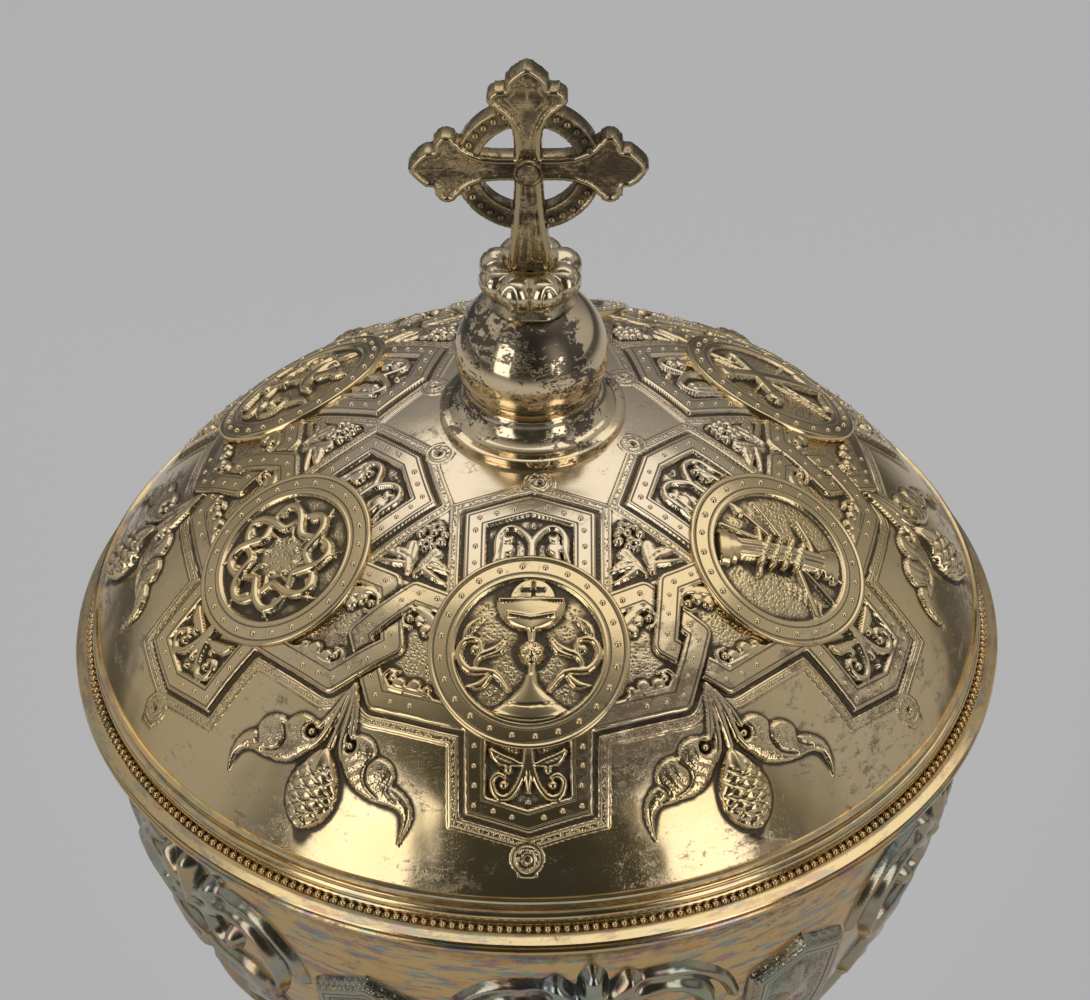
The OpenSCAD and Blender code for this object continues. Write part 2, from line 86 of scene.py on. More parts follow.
def grid_quads(rows, cols, start=0, closed=False):
    """Quads of a grid of points; rows run outwards and columns run anticlockwise seen from outside."""
    index = start + np.arange(rows * cols).reshape(rows, cols)
    if closed:
        index = np.concatenate([index, index[:, :1]], axis=1)
    return np.stack([index[:-1, :-1], index[1:, :-1], index[1:, 1:], index[:-1, 1:]], -1).reshape(-1, 4)


def ring_quads(rows, segments):
    """Quads of a grid of points that closes on itself both ways."""
    loop = np.arange(rows * segments).reshape(rows, segments)
    after = np.roll(loop, -1, 0)
    return np.stack([loop, np.roll(loop, -1, 1), np.roll(after, -1, 1), after], -1).reshape(-1, 4)


def zip_rows(inner, outer):
    """Triangles between two rows of points whose counts may differ."""
    tris, i, j = [], 0, 0
    n, m = len(inner) - 1, len(outer) - 1
    while i < n or j < m:
        if j >= m or (i < n and (i + 1) * m <= (j + 1) * n):
            tris.append((inner[i], outer[j], inner[i + 1]))
            i += 1
        else:
            tris.append((inner[i], outer[j], outer[j + 1]))
            j += 1
    return np.array(tris, np.int32)


def smooth_step(low, high, x):
    t = np.clip((x - low) / (high - low), 0, 1)
    return t * t * (3 - 2 * t)


def value_noise(x, y, cell, seed):
    """Smooth random values from -1 to 1 over a plane."""
    count = 64
    table = np.random.default_rng(seed).uniform(-1, 1, (count, count))
    gx, gy = x / cell + count / 2, y / cell + count / 2
    ix, iy = np.floor(gx).astype(int), np.floor(gy).astype(int)
    fx, fy = gx - ix, gy - iy
    fx, fy = fx * fx * (3 - 2 * fx), fy * fy * (3 - 2 * fy)

    def at(i, j):
        return table[i % count, j % count]

    low = at(ix, iy) * (1 - fx) + at(ix + 1, iy) * fx
    high = at(ix, iy + 1) * (1 - fx) + at(ix + 1, iy + 1) * fx
    return low * (1 - fy) + high * fy


def blurred(field, reach_rows, reach_cols, wrap=False):
    """A field on a grid, averaged three times over a box."""
    out = np.asarray(field, float)
    for axis, reach in ((0, reach_rows), (1, reach_cols)):
        reach = max(1, int(round(reach)))
        for _ in range(3):
            pad = [(0, 0), (0, 0)]
            pad[axis] = (reach, reach)
            mode = "wrap" if wrap and axis == 1 else "edge"
            wide = np.pad(out, pad, mode=mode)
            total = np.cumsum(wide, axis=axis)
            zero = np.zeros_like(np.take(total, [0], axis=axis))
            total = np.concatenate([zero, total], axis=axis)
            n = out.shape[axis]
            width = 2 * reach + 1
            out = (np.take(total, range(width, width + n), axis=axis)
                - np.take(total, range(n), axis=axis)) / width
    return out


# ---------------------------------------------------------------- outlines: distances, negative inside
def spline(path, cuts=4):
    """A smooth path through points that carry a radius."""
    p = np.array(path, float)
    p = np.concatenate([[2 * p[0] - p[1]], p, [2 * p[-1] - p[-2]]])
    out = []
    for a, b, c, d in zip(p[:-3], p[1:-2], p[2:-1], p[3:]):
        for k in range(cuts):
            t = k / cuts
            out.append(0.5 * (2 * b + (c - a) * t + (2 * a - 5 * b + 4 * c - d) * t * t
                + (3 * b - a - 3 * c + d) * t**3))
    out.append(p[-2])
    out = np.array(out)
    out[:, 2] = np.maximum(out[:, 2], 0.05)
    return out


def stroke(x, y, path):
    """Distance to a stroke whose points are (x, y, radius)."""
    best = np.full(x.shape, 1e3)
    for (ax, ay, ar), (bx, by, br) in zip(path[:-1], path[1:]):
        dx, dy = bx - ax, by - ay
        t = np.clip(((x - ax) * dx + (y - ay) * dy) / (dx * dx + dy * dy + 1e-9), 0, 1)
        best = np.minimum(best, np.hypot(x - ax - t * dx, y - ay - t * dy) - ar - t * (br - ar))
    return best


def disc(x, y, cx, cy, r):
    return np.hypot(x - cx, y - cy) - r


def polygon(x, y, points):
    """Signed distance to a closed polygon."""
    best = np.full(x.shape, 1e3)
    inside = np.zeros(x.shape, bool)
    for (ax, ay), (bx, by) in zip(points, points[1:] + points[:1]):
        dx, dy = bx - ax, by - ay
        t = np.clip(((x - ax) * dx + (y - ay) * dy) / (dx * dx + dy * dy), 0, 1)
        best = np.minimum(best, np.hypot(x - ax - t * dx, y - ay - t * dy))
        if ay != by:
            crosses = ((ay > y) != (by > y)) & (x < (y - ay) * dx / dy + ax)
            inside ^= crosses
    return np.where(inside, -best, best)


def spiral(cx, cy, r0, r1, start, turns, w0, w1, steps=22):
    """A path that winds from radius r0 to r1 about a centre; angles in degrees, turns may be negative."""
    t = np.linspace(0, 1, steps)
    a = np.radians(start + 360 * turns * t)
    r = r0 + (r1 - r0) * t
    return np.stack([cx + r * np.cos(a), cy + r * np.sin(a), w0 + (w1 - w0) * t], -1)


def mirrored(path):
    out = np.array(path, float)
    out[:, 0] *= -1
    return out


class Relief:
    """Height, matting, edge distance and border place at scattered points of one surface."""

    LAYERS = ("high", "matte", "edge", "border")

    def __init__(self, shape):
        for name in self.LAYERS:
            setattr(self, name, np.zeros(shape))

    def draw(self, motif, mask, x, y):
        """Draws a motif on the points under a mask only."""
        part = Relief(int(mask.sum()))
        for name in self.LAYERS:
            setattr(part, name, getattr(self, name)[mask])
        motif(part, x[mask], y[mask])
        for name in self.LAYERS:
            getattr(self, name)[mask] = getattr(part, name)

    def sink(self, d, depth, soft=0.18, matte=1.0):
        """Lowers the inside of an outline to a matted ground."""
        k = smooth_step(soft, -soft, d)
        self.high = self.high * (1 - k) - depth * k
        self.matte = self.matte * (1 - k) + matte * k

    def band(self, d, height, edge, soft=0.14):
        """Raises a flat band over everything under it."""
        k = smooth_step(soft, -soft, d)
        self.high = self.high * (1 - k) + height * k
        self.matte = self.matte * (1 - k)
        self.edge = np.where(k > 0.5, edge, self.edge)
        self.border = np.where(k > 0.5, -1.0, self.border)

    def raised(self, d, height, round_w, matte=0.0, base=0.0):
        """Raises a shape with a rounded edge; heights add to the base."""
        t = np.clip(-d / round_w, 0, 1)
        top = base + height * np.sqrt(np.clip(1 - (1 - t) ** 2, 0, 1))
        hit = d < 0
        self.high = np.where(hit, np.maximum(self.high, top), self.high)
        self.matte = np.where(hit, matte, self.matte)
        self.edge = np.where(hit, -1.0, self.edge)
        self.border = np.where(hit, -1.0, self.border)

    def groove(self, d, depth, width=0.12):
        """Cuts a fine line along d = 0 of a stroke."""
        self.high = self.high - depth * smooth_step(width, -0.1 * width, d)


def shader_layers(reliefs, plain):
    """The layers that the metals read, over the points of some reliefs and then some plain points."""
    layers = {}
    for layer, name in (("relief", "hollow"), ("matte", "matte"), ("edge", "edge"), ("border", "border")):
        layers[layer] = np.concatenate([getattr(relief, name).ravel() for relief in reliefs]
            + [np.zeros(plain)])
    return layers


# ---------------------------------------------------------------- charts on the dome
def dome_chart(azimuth, ring_r):
    """Centre, right and up vectors of a flat chart that touches the dome."""
    polar, az = math.asin(ring_r / DOME_R), math.radians(azimuth)
    s, c = math.sin(az), math.cos(az)
    centre = np.array([math.sin(polar) * s, -math.sin(polar) * c, math.cos(polar)])
    right = np.array([c, s, 0.0])
    up = np.array([-math.cos(polar) * s, math.cos(polar) * c, math.sin(polar)])
    return centre, right, up


def to_chart(chart, unit):
    centre, right, up = chart
    cosine = np.clip(unit @ centre, -1, 1)
    angle = np.arccos(cosine)
    k = DOME_R * angle / np.maximum(np.sin(angle), 1e-9)
    return k * (unit @ right), k * (unit @ up)


def from_chart(chart, u, v):
    """Unit vectors on the dome for chart places."""
    centre, right, up = chart
    u, v = np.asarray(u, float), np.asarray(v, float)
    d = np.hypot(u, v) + 1e-12
    a = d / DOME_R
    return (
        np.cos(a)[..., None] * centre
        + (np.sin(a) * u / d)[..., None] * right
        + (np.sin(a) * v / d)[..., None] * up
    )


def dome_unit(azimuth, arc):
    """Unit vectors for azimuths in degrees and arc lengths from the apex."""
    a, p = np.radians(azimuth), arc / DOME_R
    return np.stack([np.sin(p) * np.sin(a), -np.sin(p) * np.cos(a), np.cos(p) * np.ones_like(a)], -1)


FIELD_CHART = dome_chart(0.0, MEDALLION_RING_R)
CROSSING_CHART = dome_chart(SECTOR_A / 2, CROSSING_RING_R)
SPRIG_CHART = dome_chart(SECTOR_A / 2, SPRIG_RING_R)
GRAPE_CHART = dome_chart(SECTOR_A / 2, GRAPE_RING_R)

# The bracket of the medallion to the left of a crossing: its strap's centre line, closed far to the left
BRACKET = [(-21, 10.9), (-7, 10.6), (-1.95, 10.45), (2.5, 2.8), (-3.6, -4.5), (-9.5, -3.5), (-21, -1.6)]
STRAP_HALF = 1.6
STRAP_HIGH, STRAP_LIFT = 0.42, 0.14
GROUND_DEPTH = 0.4
PANEL_HALF_TOP, PANEL_HALF_LOW = 5.75, 5.5
PANEL_END_TOP, PANEL_END_LOW = 19.6, 20.7
PANEL_SLOPE = 0.296
PANEL_BAND = 2.9
CHANNEL_W = 0.6
BORDER_W = 1.65


def panel_distance(u, v, half, end):
    """Distance outside a house-shaped opening with square corners, by equal steps from its sides."""
    roof = (v + PANEL_SLOPE * np.abs(u) - end) / math.hypot(1, PANEL_SLOPE)
    return np.maximum(np.abs(u) - half, roof)


# ---------------------------------------------------------------- motifs, each in its own chart
def bead_motif(relief, x, y, places, height=1.0, base=0.3):
    for cx, cy, r in places:
        relief.raised(disc(x, y, cx, cy, r), height * r, r, base=base)


def top_leaf(relief, u, v):
    """Two crooked leaves on one stem, in the top opening of a medallion's frame."""
    left = [(0.2, 12.2, 0.55), (0.25, 14.9, 0.55), (-0.6, 16.5, 0.5), (-2.0, 17.6, 0.45), (-3.3, 17.4, 0.45),
            (-4.1, 16.3, 0.5), (-4.2, 14.9, 0.6), (-4.3, 13.5, 0.45), (-4.8, 11.9, 0.3)]
    right = mirrored(left) + np.array([0.5, 0, 0])
    for side, path in ((-1, left), (1, right)):
        shift = 0.25 if side > 0 else 0.0
        body = stroke(u, v, spline(path, 3))
        body = np.minimum(body, disc(u, v, side * 2.9 + shift, 15.9, 0.9))
        body = np.minimum(body, disc(u, v, side * 3.0 + shift, 14.4, 1.05))
        body = np.minimum(body, stroke(u, v, [(side * 3.4, 15.8, 0.6), (side * 3.6, 12.8, 0.55)]))
        body = np.maximum(body, -disc(u, v, side * 2.75 + shift, 16.75, 0.42))
        relief.raised(body, 0.5, 0.5, base=0.05)
        relief.groove(stroke(u, v, [(side * 1.6, 15.4, 0.02), (side * 3.2, 15.15, 0.02)]), 0.25)
        relief.groove(stroke(u, v, spline([(side * 3.9, 16.4, 0.02), (side * 3.7, 15, 0.02),
            (side * 4.2, 13, 0.02)])), 0.15)
    relief.raised(disc(u, v, 0.45, 18.1, 0.4), 0.4, 0.4)


def low_leaf(relief, u, v):
    """A bud between two scrolls, in the bottom opening."""
    for side in (-1, 1):
        across = side * u
        arm = spline([(0.2, -13.1, 0.5), (0.5, -15.4, 0.5), (1.5, -17.9, 0.5),
                      (2.9, -19.2, 0.5), (4.3, -18.7, 0.5), (4.7, -17.2, 0.45),
                      (3.9, -16.2, 0.4), (3.0, -16.6, 0.35)], 3)
        body = np.minimum(stroke(across, v, arm), disc(across, v, 3.2, -17.6, 0.62))
        leaf = spline([(0.9, -14.9, 0.3), (2.3, -14.6, 0.7), (3.7, -14.2, 0.85), (4.7, -13.2, 0.5)], 3)
        body = np.minimum(body, stroke(across, v, leaf))
        body = np.minimum(body, disc(across, v, 2.6, -15.6, 0.62))
        relief.raised(body, 0.5, 0.45, base=0.05)
        relief.groove(stroke(across, v, [(1.4, -14.9, 0.02), (4.3, -13.7, 0.02)]), 0.2)
    relief.raised(stroke(u, v, [(0, -13.4, 0.35), (0, -17.0, 0.62), (0, -18.4, 0.3)]), 0.55, 0.5, base=0.05)
    relief.raised(disc(u, v, 0, -19.7, 0.38), 0.38, 0.38)


def side_leaves(relief, x, y):
    """Leaves with a ball in their curl, in the field between a medallion and its bracket."""
    low = stroke(x, y, spline([(-4.3, -2.5, 0.4), (-5.9, -2.5, 0.75), (-7.8, -2.0, 0.9), (-9.8, -1.8, 0.55),
        (-11, -2.2, 0.2)], 3))
    for cx, cy, r in ((-5.6, -1.6, 0.95), (-7.6, -1.1, 0.95), (-9.3, -1.0, 0.6)):
        low = np.minimum(low, disc(x, y, cx, cy, r))
    low = np.minimum(low, stroke(x, y, spline([(-4.2, -2.3, 0.35), (-3.3, -1.4, 0.35), (-3.7, -0.3, 0.35),
        (-4.8, -0.2, 0.3)], 3)))
    high = stroke(x, y, spline([(-2.4, 8.1, 0.3), (-3.4, 8.5, 0.45), (-5.0, 8.2, 0.75), (-6.4, 7.2, 0.8),
        (-7.6, 6.0, 0.35)], 3))
    for cx, cy, r in ((-4.5, 7.3, 0.9), (-5.7, 6.2, 0.85)):
        high = np.minimum(high, disc(x, y, cx, cy, r))
    high = np.minimum(high, stroke(x, y, spline([(-2.4, 8.0, 0.35), (-1.9, 6.9, 0.35), (-2.6, 5.9, 0.35),
        (-3.5, 5.9, 0.3)], 3)))
    for body in (low, high):
        relief.raised(body, 0.5, 0.5, base=0.02)
    relief.raised(disc(x, y, -4.45, -1.15, 0.6), 0.6, 0.6)
    relief.raised(disc(x, y, -2.95, 7.0, 0.6), 0.6, 0.6)
    for path in ([(-5.0, -2.2, 0.02), (-9.8, -1.7, 0.02)], [(-3.4, 8.0, 0.02), (-7, 6.6, 0.02)]):
        relief.groove(stroke(x, y, path), 0.16)


def grapes(relief, x, y):
    """A bunch of grapes over a three-lobed leaf, between two frames."""
    for side in (-1, 1):
        across = side * x
        leaf = disc(across, y, 1.65, -4.0, 1.1)
        for path in (
            [(1.6, -4.2, 1.0), (1.3, -5.6, 1.0), (0.6, -7.5, 0.5)],
            [(1.8, -5.3, 1.0), (3.2, -5.4, 0.9), (4.5, -5.6, 0.35)],
            [(1.2, -6.4, 0.7), (3.0, -6.9, 0.55), (5.1, -7.2, 0.25)],
        ):
            leaf = np.minimum(leaf, stroke(across, y, path))
        relief.raised(leaf, 0.45, 0.9, base=0.05, matte=0.12)
        for path in (
            [(0.4, -7.2, 0.03), (1.2, -5.4, 0.03), (1.8, -3.6, 0.03)],
            [(1.2, -5.8, 0.03), (2.6, -5.3, 0.03), (4.1, -5.5, 0.03)],
            [(1.6, -6.15, 0.03), (3.2, -6.3, 0.03), (4.4, -6.6, 0.03)],
        ):
            relief.groove(stroke(across, y, path), 0.22)
    balls = [(0, 0.35, 0.5), (-0.55, -0.35, 0.55), (0.7, -0.3, 0.55), (0.05, -1.2, 0.68),
        (1.45, -0.95, 0.58), (-1.2, -0.95, 0.58), (1.5, -2.1, 0.7), (-1.55, -1.95, 0.68),
        (-0.05, -2.4, 0.68), (0.75, -3.1, 0.6), (-0.75, -3.1, 0.6), (0.0, -3.8, 0.5)]
    bead_motif(relief, x, y, balls, 1.0, 0.3)


CONE_TOP, CONE_TIP, CONE_HALF = 2.1, -9.1, 3.6


def cone(relief, x, y):
    """A pine cone that hangs from the sprig, with diamond scales under a cap of petals."""
    t = np.clip((y - CONE_TIP) / (CONE_TOP - CONE_TIP), 0.001, 0.999)
    wide = CONE_HALF * np.sin(math.pi * t**0.82) ** 0.72
    q = (x + 0.1) / np.maximum(wide, 0.05)
    inside = (np.abs(q) < 1) & (y > CONE_TIP) & (y < CONE_TOP)
    q = np.clip(q, -1, 1)
    swell = np.sqrt(1 - q * q)
    around = np.arcsin(q) * 2.6
    a, b = (y + 0.72 * around) / 1.75, (y - 0.72 * around) / 1.75
    seam = np.minimum(np.abs(a - np.round(a)), np.abs(b - np.round(b))) * 2
    scale = (np.abs(a - np.floor(a)) + np.abs(b - np.floor(b))) / 2
    cap = smooth_step(-1.0, -0.4, y + 0.5 * np.cos(around * 2.2))
    high = 0.25 + 1.75 * swell * np.sin(math.pi * t**0.9) ** 0.35
    high += (0.34 * smooth_step(0.0, 0.4, seam) - 0.3 * (1 - scale)) * (1 - cap) * np.sqrt(swell)
    high += cap * 0.12 * np.cos(around * 3.2)
    relief.high = np.where(inside, np.maximum(relief.high, high), relief.high)
    for name, value in (("matte", 0.0), ("edge", 0.0), ("border", 0.0)):
        setattr(relief, name, np.where(inside, value, getattr(relief, name)))


def sprig(relief, x, y):
    """Ridged stems, two lobed leaves with a ball in the curl, and a cone between them."""
    halves = ((-1, [(-4.6, 2.7, 2.45), (-8.3, 1.0, 2.7)],
        [(-2.6, 1.9, 0.9), (-5.6, -0.1, 1.6), (-8.8, -0.5, 1.5), (-11.4, -0.7, 1.25), (-13.1, -2.5, 0.7),
        (-13.5, -5.6, 0.08)], (-3.1, 3.3), [(-7.2, 2.7, 0.04), (-6.3, 1.0, 0.04), (-7.0, -0.6, 0.04),
        (-9.0, -1.4, 0.04)], [(-11.0, 1.0, 0.04), (-10.0, -0.6, 0.04), (-11.4, -1.6, 0.04)]),
        (1, [(4.3, 2.9, 2.3), (7.7, 0.9, 2.3)], [(2.6, 1.9, 0.9), (5.0, 0.0, 1.5), (8.2, -0.9, 1.45),
        (11.2, -1.1, 1.2), (13.1, -2.7, 0.75), (13.3, -6.5, 0.08)], (2.7, 3.3),
        [(6.5, 3.0, 0.04), (5.9, 1.2, 0.04), (6.6, -0.6, 0.04), (8.6, -1.7, 0.04)],
        [(10.0, 1.2, 0.04), (9.6, -0.4, 0.04), (11.2, -1.5, 0.04)]),)
    for side, lobes, blade, eye, crease, second in halves:
        body = stroke(x, y, spline(blade, 3))
        full = np.exp(-1.3 * np.clip(body, -4, 9))
        for cx, cy, r in lobes:
            lobe = disc(x, y, cx, cy, r)
            body = np.minimum(body, lobe)
            full = full + np.exp(-1.3 * np.clip(lobe, -4, 9))
        full = np.log(full) / 1.3
        ring = np.hypot(x - eye[0], y - eye[1])
        near = (body < 0) & (ring > 0.95)
        fan = np.abs(np.cos(np.hypot(x - eye[0], y - eye[1]) * 2.6
            + np.arctan2(y - eye[1], (x - eye[0]) * side)))
        swell = np.clip(full / 2.6, 0, 1)
        relief.raised(np.maximum(body, 0.95 - ring), 0.45, 0.5, base=0.05)
        relief.high = np.where(near, relief.high + 0.5 * np.sqrt(swell) * (1 - 0.3 * swell) + 0.13 * fan
            * swell, relief.high)
        relief.border = np.where(near, 0.62, relief.border)
        relief.groove(np.where(near, stroke(x, y, spline(crease, 3)), 9.0), 0.4, 0.3)
        relief.groove(np.where(near, stroke(x, y, spline(second, 3)), 9.0), 0.3, 0.25)
        relief.sink(disc(x, y, eye[0], eye[1], 0.85), 0.25, 0.12, 0.0)
        relief.raised(disc(x, y, eye[0], eye[1] - 0.1, 0.58), 0.75, 0.58)
    for path in (
        [(-0.2, 9.9, 0.3), (-1.1, 6.6, 0.42), (-2.1, 4.3, 0.45), (-2.9, 4.4, 0.4)],
        [(0.9, 9.7, 0.3), (2.0, 6.6, 0.42), (2.5, 4.5, 0.42), (3.0, 4.5, 0.35)],
        [(0.1, 10.8, 0.3), (-0.45, 7, 0.5), (-1.3, 3.0, 0.55), (-2.4, 1.2, 0.45)],
        [(0.4, 10.6, 0.3), (1.25, 7, 0.5), (1.6, 3.2, 0.55), (2.4, 1.2, 0.45)],
        [(0.2, 10.9, 0.3), (0.4, 7, 0.55), (0.15, 2.2, 0.5)],
    ):
        relief.raised(stroke(x, y, spline(path, 3)), 0.55, 0.45, base=0.25)
    cone(relief, x, y)


def end_curl(relief, u, v, cx, cy, r):
    """The curl in which a frame's border ends: a grained disc in a wire that winds in to its eye."""
    ring = np.hypot(u - cx, v - cy)
    inside = ring < r
    relief.high = np.where(inside, 0.1, relief.high)
    relief.border = np.where(inside, np.clip((r - ring) / 0.9, 0, 1), relief.border)
    wind = stroke(u, v, spiral(cx, cy, r * 0.55, 0.4, 200, 0.9, 0.2, 0.16))
    relief.high = np.where(inside, 0.1 + 0.14 * smooth_step(0.25, -0.05, wind), relief.high)
    relief.border = np.where(inside & (wind < 0.1), 0.27, relief.border)
    relief.high = np.where(ring < 0.35, -0.15, relief.high)


def sector_relief(azimuth, arc, turn):
    """Relief of one sixth of the chased dome; azimuth runs from -30 to 30 degrees about its medallion."""
    gx, gy = arc * np.sin(np.radians(azimuth + turn)), arc * np.cos(np.radians(azimuth + turn))
    azimuth = azimuth + 0.11 * value_noise(gx, gy, 6.0, 11) * smooth_step(30, 28.5, np.abs(azimuth))
    arc = arc + 0.09 * value_noise(gx, gy, 6.5, 12)
    unit = dome_unit(azimuth, arc)
    side = np.where(azimuth < 0, -1.0, 1.0)
    folded = dome_unit(np.abs(azimuth), arc)
    u, v = to_chart(FIELD_CHART, unit)
    x, y = to_chart(CROSSING_CHART, folded)
    relief = Relief(arc.shape)

    top = panel_distance(u, v, PANEL_HALF_TOP, PANEL_END_TOP)
    low = panel_distance(u, -v, PANEL_HALF_LOW, PANEL_END_LOW)
    top = np.where(v > 4, top, 30.0)
    low = np.where(v < -4, low, 30.0)
    own = polygon(x, y, BRACKET)
    other = polygon(-x, y, BRACKET)
    own_band, other_band = np.abs(own) - STRAP_HALF, np.abs(other) - STRAP_HALF

    # border and dark channel outside the panels and below the brackets
    below = (own > 0) & (other > 0) & (y < 2)
    outside = np.minimum(np.minimum(top, low) - PANEL_BAND,
        np.where(below, np.minimum(own_band, other_band), 30.0))
    outside = np.where((arc > 12) & (own > 0) | (outside < 8) & ((v > 9) | (v < -9)) | below, outside, 30.0)
    grape_x, grape_y = to_chart(GRAPE_CHART, folded)
    hollow = (grape_y < 1.4) & (y > 11.5) & (outside > CHANNEL_W + BORDER_W)
    relief.high = relief.high - np.where(hollow, 0.22 * smooth_step(1.4, 0.2, grape_y), 0.0)
    relief.matte = np.where(hollow, smooth_step(1.0, -0.4, grape_y), relief.matte)
    place = (outside - CHANNEL_W) / BORDER_W
    in_border = (place > 0) & (place < 1)
    relief.border = np.where(in_border, 2 * np.minimum(place, 1 - place), 0.0)
    relief.high = np.where(in_border, 0.10 * smooth_step(0.0, 0.25, relief.border), relief.high)
    relief.high = np.where((outside > -0.3) & (place <= 0), -0.2, relief.high)

    # matted grounds
    relief.sink(top, GROUND_DEPTH)
    relief.sink(low, GROUND_DEPTH)
    field = np.where(np.abs(v) < 11.5, own + STRAP_HALF, 9.0)
    leaf_field = np.maximum(field, STRAP_HALF - other)
    relief.sink(field, GROUND_DEPTH)
    diamond = np.maximum(own, other) + STRAP_HALF
    relief.sink(np.where((y > 0) & (y < 7), diamond, 9.0), 0.35)

    # straps
    for d in (top, low):
        relief.band(np.abs(d - PANEL_BAND / 2) - PANEL_BAND / 2, STRAP_HIGH, np.minimum(d, PANEL_BAND - d))
    upper, lower = np.hypot(x, y - 7.1), np.hypot(x, y + 0.2)
    own_lift = np.where(azimuth < 0, 1.0, -1.0)
    own_over = np.where(azimuth < 0, y > 3.4, y < 3.4)
    for first in (True, False):
        for band, lift in ((other_band, -own_lift), (own_band, own_lift)):
            is_own = band is own_band
            drawn = own_over if is_own else ~own_over
            use = ~drawn if first else drawn
            rise = STRAP_LIFT * smooth_step(4.2, 1.0, upper) - STRAP_LIFT * smooth_step(4.2, 1.0, lower)
            height = STRAP_HIGH + lift * rise
            d = np.where(use, band, 9.0)
            if not first:
                gap = np.where(use, band, 9.0)
                trench = (gap > 0) & (gap < 0.3) & ((own_band if not is_own else other_band) < 0)
                relief.high = np.where(trench, -0.05, relief.high)
                relief.edge = np.where(trench, 0.0, relief.edge)
            relief.band(d, height, np.maximum(-band, 0.0))

    # motifs
    relief.draw(top_leaf, top < 0.1, u, v)
    relief.draw(low_leaf, low < 0.1, u, v)
    relief.draw(side_leaves, leaf_field < 0.1, x, y)
    between_straps = (own_band > -0.05) & (other_band > -0.05)
    bunch = (grape_y < 1.6) & (grape_y > -8.4) & (np.abs(grape_x) < 6) & between_straps
    relief.draw(grapes, bunch, grape_x * side, grape_y)
    end_curl(relief, u, v, 1.2, 25.0, 2.05)
    end_curl(relief, u, v, -0.2, -27.0, 2.2)
    sprig_x, sprig_y = to_chart(SPRIG_CHART, folded)
    spread = (np.abs(sprig_x) < 15.5) & (sprig_y < 11.6) & (sprig_y > -10)
    relief.draw(sprig, spread, sprig_x * side, sprig_y)
    relief.high = np.where(np.hypot(u, v) < MEDALLION_R - 0.3, -0.3, relief.high)
    relief.high = relief.high + 0.025 * value_noise(gx, gy, 3.0, 21) + 0.05 * value_noise(gx, gy, 11.0, 22)
    return relief


# ---------------------------------------------------------------- pieces of the lid
def place_on_dome(unit, high):
    """Points at a height over the dome's sphere."""
    points = unit * (DOME_R + high)[..., None]
    points[..., 2] += DOME_Z
    return points


def turned_about_z(points, degrees):
    a = math.radians(degrees)
    out = points.copy()
    out[..., 0] = points[..., 0] * math.cos(a) - points[..., 1] * math.sin(a)
    out[..., 1] = points[..., 0] * math.sin(a) + points[..., 1] * math.cos(a)
    return out


DOME_IN = -1.0
ARC_START, ARC_JOIN, ARC_END = 13.3, 37.0, 72.12


def arc_rows(start, end, plain_to, plain_from, step):
    """Arc lengths between rows: close over the chasing, wide where the dome is plain."""
    out = [start]
    while out[-1] < end - 1e-6:
        s = out[-1]
        wide = 4.0 if (s < plain_to or s > plain_from) else 1.0
        out.append(min(end, s + step * wide))
    return np.array(out)


def dome_sector(number):
    """One chased sixth of the dome: fine outside, plain inside, closed all round."""
    turn = SECTOR_A * (number - 1)
    zones = []
    for start, end, cols in ((ARC_START, ARC_JOIN, 152), (ARC_JOIN, ARC_END, 284)):
        rows = arc_rows(start, end, 13.0, 68.5, 0.2 * FINE)
        if end == ARC_JOIN:
            rows = rows[:-1]
        across = np.linspace(-SECTOR_A / 2, SECTOR_A / 2, int(cols / FINE) + 1)
        azimuth, arc = np.meshgrid(across, rows)
        relief = sector_relief(azimuth.ravel(), arc.ravel(), turn)
        high = relief.high.reshape(arc.shape)
        near = high - blurred(high, 1.8 / FINE, 1.8 / FINE)
        broad = high - blurred(high, 7 / FINE, 7 / FINE)
        relief.hollow = (1.35 * near + 0.03 * broad).ravel()
        points = place_on_dome(dome_unit(azimuth, arc), high)
        zones.append((points, relief, len(rows), len(across)))
    (p0, r0, n0, m0), (p1, r1, n1, m1) = zones
    base = n0 * m0
    faces = [grid_quads(n0, m0), grid_quads(n1, m1, base)]
    top0, top1 = np.arange(base).reshape(n0, m0), base + np.arange(n1 * m1).reshape(n1, m1)
    faces.append(zip_rows(top0[-1], top1[0]))
    # the inner face
    in_rows = np.linspace(ARC_START, ARC_END, 14)
    azimuth, arc = np.meshgrid(np.linspace(-SECTOR_A / 2, SECTOR_A / 2, 25), in_rows)
    under = place_on_dome(dome_unit(azimuth, arc), np.full(arc.shape, DOME_IN))
    start = base + n1 * m1
    low = start + np.arange(under.shape[0] * under.shape[1]).reshape(under.shape[:2])
    faces.append(grid_quads(under.shape[0], under.shape[1], start)[:, ::-1])
    left = np.concatenate([top0[:, 0], top1[:, 0]])
    right = np.concatenate([top0[:, -1], top1[:, -1]])
    faces.append(zip_rows(left, low[:, 0]))
    faces.append(zip_rows(low[:, -1], right))
    faces.append(zip_rows(top1[-1], low[-1]))
    faces.append(zip_rows(low[0], top0[0]))
    points = np.concatenate([p0.reshape(-1, 3), p1.reshape(-1, 3), under.reshape(-1, 3)])
    layers = shader_layers((r0, r1), low.size)
    return mesh_object(f"lid_dome_sector_{number}", turned_about_z(points, turn), faces, layers, 80)


def arc_points(cr, cz, rr, rz, start, end, count=12):
    a = np.radians(np.linspace(start, end, count))
    return [(cr + rr * math.cos(t), cz + rz * math.sin(t)) for t in a]


